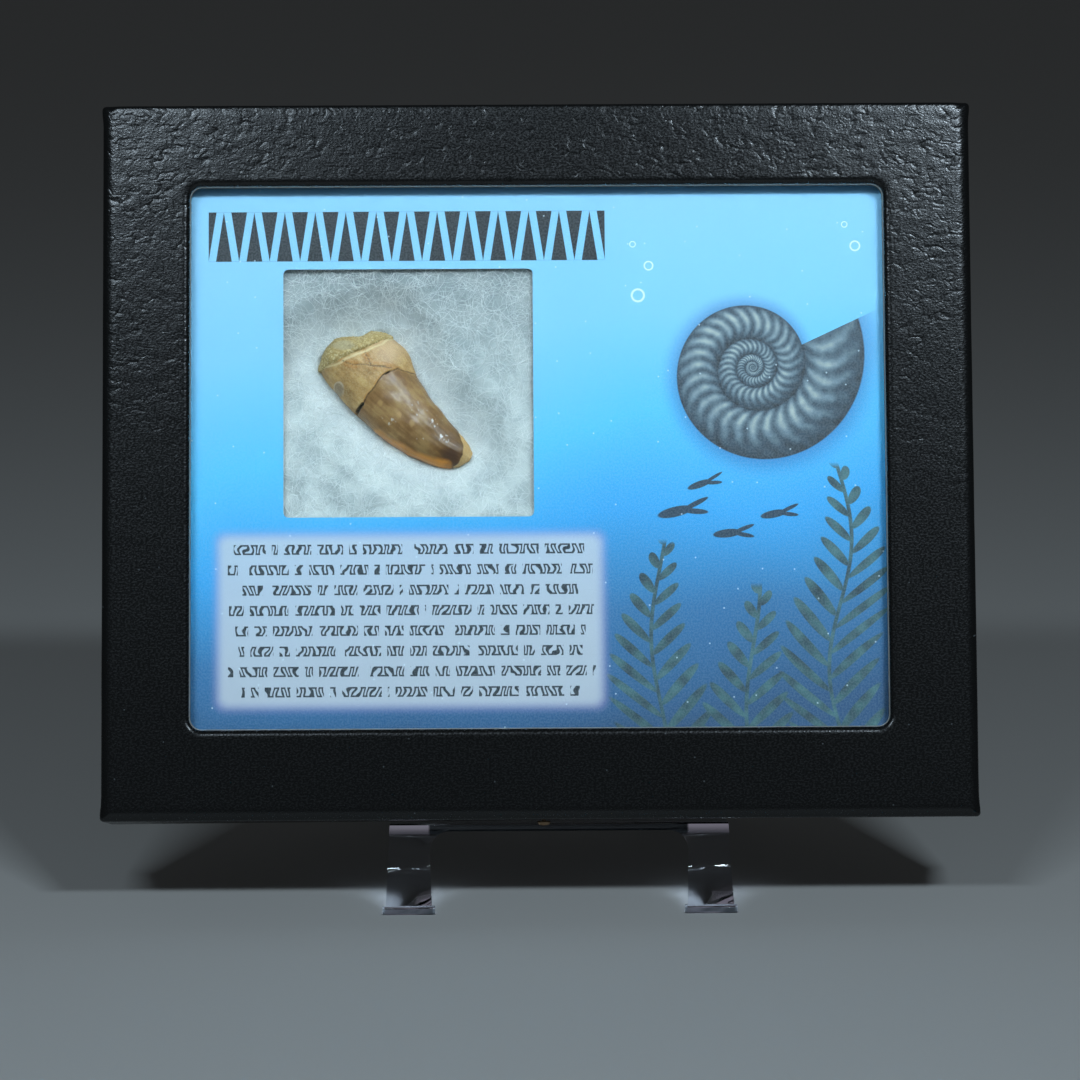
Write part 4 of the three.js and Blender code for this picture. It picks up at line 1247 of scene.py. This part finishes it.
def make_fill(material):
    """The fill as one closed cushion: its shaped face, its flat back and its rim."""
    side = CASE_WIDTH / 2 - FILL_INSET
    columns = fill_lines(CUTOUT_CENTRE[0], (-side, side))
    rows = fill_lines(CUTOUT_CENTRE[1], (FILL_INSET, CASE_HEIGHT - FILL_INSET))
    across, up = np.meshgrid(columns, rows)
    front = np.stack([across, up, -fill_depth(np.stack([across, up], axis=-1))], axis=-1)
    edge_in = np.minimum.reduce([across + side, side - across, up - FILL_INSET,
                                 CASE_HEIGHT - FILL_INSET - up])
    front[..., 2] -= 1.2 * smooth_step(3.0, 0.0, edge_in)
    back = front.copy()
    back[..., 2] = -FILL_BACK + 0.9 * smooth_step(3.0, 0.0, edge_in)
    height, width = across.shape
    total = height * width
    faces = grid_faces(height, width, wrap_columns=False)
    faces += [tuple(total + v for v in reversed(face)) for face in faces]
    rim = [*range(width), *range(2 * width - 1, total, width),
           *range(total - 2, total - width - 1, -1), *range(total - 2 * width, 0, -width)]
    for a, b in zip(rim, rim[1:] + rim[:1]):
        faces.append((b, a, a + total, b + total))
    points = np.vstack([front.reshape(-1, 3), back.reshape(-1, 3)])
    fill = new_piece("fibre_bed", in_case(points), faces, [material])
    # Painted light: how far the fill dips round the tooth, which pales its colour there.
    sunk = smooth_step(FILL_FRONT + 1.2, FILL_FRONT + 4.5, -front[..., 2]).ravel()
    paint_mask(fill, "nest", np.append(0.35 * sunk, np.zeros(total)))
    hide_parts("fibre_fill")


def make_strands(material):
    """Loose fibres lying in curls on the fill, all joined in one mesh."""
    above_fill, behind_card, in_cutout = 0.04, 0.6, 0.15
    half = CUTOUT_SIZE / 2 + 1.5
    start = np.array(CUTOUT_CENTRE) + random.uniform(-half, half, (STRANDS, 2))
    heading = random.uniform(0, 2 * math.pi, STRANDS)
    curl = random.normal(0, 0.32, STRANDS)
    twist = random.normal(0, 0.09, STRANDS)
    stride = random.uniform(0.3, 0.95, STRANDS)
    lift = random.uniform(0.03, 0.6, STRANDS)
    radius = random.uniform(*STRAND_RADII, STRANDS)
    place = start.copy()
    path = []
    for step in range(STRAND_STEPS):
        path.append(place.copy())
        ahead = np.stack([np.cos(heading), np.sin(heading)], axis=1)
        place = place + ahead * stride[:, None]
        heading = heading + curl * stride
        curl = curl + twist
    path = np.array(path).transpose(1, 0, 2)
    bow = np.sin(np.linspace(0, math.pi, STRAND_STEPS))
    depth = fill_depth(path) - above_fill - lift[:, None] * bow
    past_cutout = np.max(np.abs(path - CUTOUT_CENTRE), axis=-1) - CUTOUT_SIZE / 2
    shallowest = CARD_FRONT + np.where(past_cutout > -0.6, behind_card, in_cutout)
    depth = np.maximum(depth, shallowest)
    path = np.concatenate([path, -depth[..., None]], axis=-1)
    tangent = np.gradient(path, axis=1)
    tangent /= np.linalg.norm(tangent, axis=-1, keepdims=True)
    sideways = np.cross(tangent, (0.0, 0.0, 1.0))
    sideways /= np.maximum(np.linalg.norm(sideways, axis=-1, keepdims=True), 1e-6)
    upward = np.cross(sideways, tangent)
    thin = radius[:, None, None] * np.clip(bow, 0.25, 1.0)[None, :, None]
    tube = []
    for side in range(STRAND_SIDES):
        turn = side / STRAND_SIDES * 2 * math.pi
        tube.append(path + thin * (math.cos(turn) * sideways + math.sin(turn) * upward))
    points = np.stack(tube, axis=2).reshape(-1, 3)
    one = np.array(grid_faces(STRAND_STEPS, STRAND_SIDES))
    per_strand = STRAND_STEPS * STRAND_SIDES
    faces = (one[None] + np.arange(STRANDS)[:, None, None] * per_strand).reshape(-1, 4).tolist()
    ends = np.arange(STRANDS)[:, None] * per_strand
    faces += (ends + np.arange(STRAND_SIDES)[None, ::-1]).tolist()
    faces += (ends + per_strand - STRAND_SIDES + np.arange(STRAND_SIDES)[None]).tolist()
    strands = new_piece("fibre_strands", in_case(points), faces, [material])
    strands.visible_shadow = False  # too fine to cast one that shows


# ---- the easel -----------------------------------------------------------------------

BEND_HIGH, BEND_LOW, TOE_HIGH = -0.3, -2.6, 2.0
EASEL_MIDDLE, LEG_INNER = 3.4, 23.8  # across, and from there to a leg's inner side


def make_easel(materials):
    """The bent sheet, milky at its rounded edges, toe ends and front bend as a painted highlight,
    with a painted glow high on the legs.
    """
    shape = bmesh.new()
    shape.from_mesh(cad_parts["display_easel"].data)
    bmesh.ops.remove_doubles(shape, verts=shape.verts, dist=0.001 * MM)
    bmesh.ops.dissolve_limit(shape, angle_limit=math.radians(1.5), verts=shape.verts,
                             edges=shape.edges)
    into_case = CASE_PLACE.inverted()
    for face in shape.faces:
        centre, normal = face.calc_center_median(), face.normal
        up = (into_case @ centre).y / MM
        # The front bend and the toe ends take the milky plastic: a painted highlight.
        if BEND_LOW < up < BEND_HIGH and normal.y < -0.3 and normal.z > 0.3:
            face.material_index = 2
        elif centre.z < TOE_HIGH * MM and normal.y < -0.9:
            face.material_index = 1
        face.smooth = True
    sheet = bpy.data.meshes.new("easel")
    shape.to_mesh(sheet)
    shape.free()
    for material in materials:
        sheet.materials.append(material)
    easel = in_scene("easel", sheet)
    edges = easel.modifiers.new("rounded_edges", "BEVEL")
    edges.width, edges.segments, edges.limit_method = 0.35 * MM, 3, "ANGLE"
    edges.angle_limit = math.radians(40)
    # The rounded edges take the milky plastic too, as a painted highlight.
    edges.material = 1
    edges.harden_normals = True
    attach(easel, "root")
    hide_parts("display_easel")


# ---- camera, light and floor ---------------------------------------------------------

def direction(azimuth, elevation):
    """From the case towards something that stands in front of it, in degrees."""
    turn, rise = math.radians(azimuth), math.radians(elevation)
    return Vector((math.sin(turn) * math.cos(rise), -math.cos(turn) * math.cos(rise),
                   math.sin(rise)))


def make_camera():
    """The camera straight ahead, a little above the middle."""
    distance, roll = 750 * MM, -0.24
    target = Vector((0.27, -18.53, 65.61)) * MM
    back = direction(-0.44, 10.0)
    data = bpy.data.cameras.new("camera")
    data.sensor_width, data.lens = 36.0, 136.4
    data.clip_start, data.clip_end = 0.01, 100.0
    camera = in_scene("camera", data)
    camera.location = target + distance * back
    facing = (-back).to_track_quat("-Z", "Y").to_matrix()
    camera.rotation_euler = (facing @ Matrix.Rotation(math.radians(roll), 3, "Z")).to_euler()
    bpy.context.scene.camera = camera


def soft_box(name, azimuth, elevation, distance, size, power, colour):
    """A wide lamp that faces the case."""
    target = Vector((0, -0.02, 0.08))
    back = direction(azimuth, elevation)
    data = bpy.data.lights.new(name, "AREA")
    data.shape, data.size, data.size_y = "RECTANGLE", *size
    data.energy, data.color = power, linear(colour)[:3]
    lamp = in_scene(name, data)
    lamp.location = target + distance * back
    lamp.rotation_euler = (-back).to_track_quat("-Z", "Y").to_euler()


def make_studio():
    """Two lamps above the camera, a dim sky and a floor."""
    soft_box("right_soft_box", 23, 36.5, 0.75, (0.16, 0.05), 1.5, "#dcf0ff")
    soft_box("left_soft_box", -22, 36.5, 0.75, (0.22, 0.05), 1.05, "#dcf0ff")
    world = bpy.data.worlds.new("studio")
    world.use_nodes = True
    world.node_tree.nodes["Background"].inputs["Color"].default_value = linear("#c9d0d6")
    world.node_tree.nodes["Background"].inputs["Strength"].default_value = 0.05
    bpy.context.scene.world = world
    bpy.context.scene.view_settings.view_transform = "Standard"

    side, drop = 8.0, 0.05 * MM  # metres out from the middle, and under the easel's feet
    corners = [(x * side, y * side, -drop) for x, y in ((-1, -1), (1, -1), (1, 1), (-1, 1))]
    mesh = bpy.data.meshes.new("floor")
    mesh.from_pydata(corners, [], [(0, 1, 2, 3)])
    mesh.materials.append(studio_floor())
    in_scene("floor", mesh)


# ---- the whole ----------------------------------------------------------------------

def dress(node, material):
    """Gives a CAD node its finish."""
    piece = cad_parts[node]
    piece.data.materials.clear()
    piece.data.materials.append(material)


make_camera()
make_studio()
leather, lining = leatherette(), lining_paper()
make_lid([leather, raw_board(), lining])
dress("glass_pane", window_glass())
dress("printed_card", printed_card())
dress("case_tray", leather)
dress("closing_pin", pin_brass())
# The easel's milky plastics carry a painted highlight and a painted glow.
make_easel([clear_styrene(), styrene_with_painted_glow("styrene_edge_painted_highlight", 0.12, 4.5),
            styrene_with_painted_glow("styrene_bend_painted_highlight", 0.24, 2.6)])
make_tooth(fossil_enamel())
make_sediment(phosphate_sand())
make_fill(fibre_mass())
make_strands(fibre_strand())
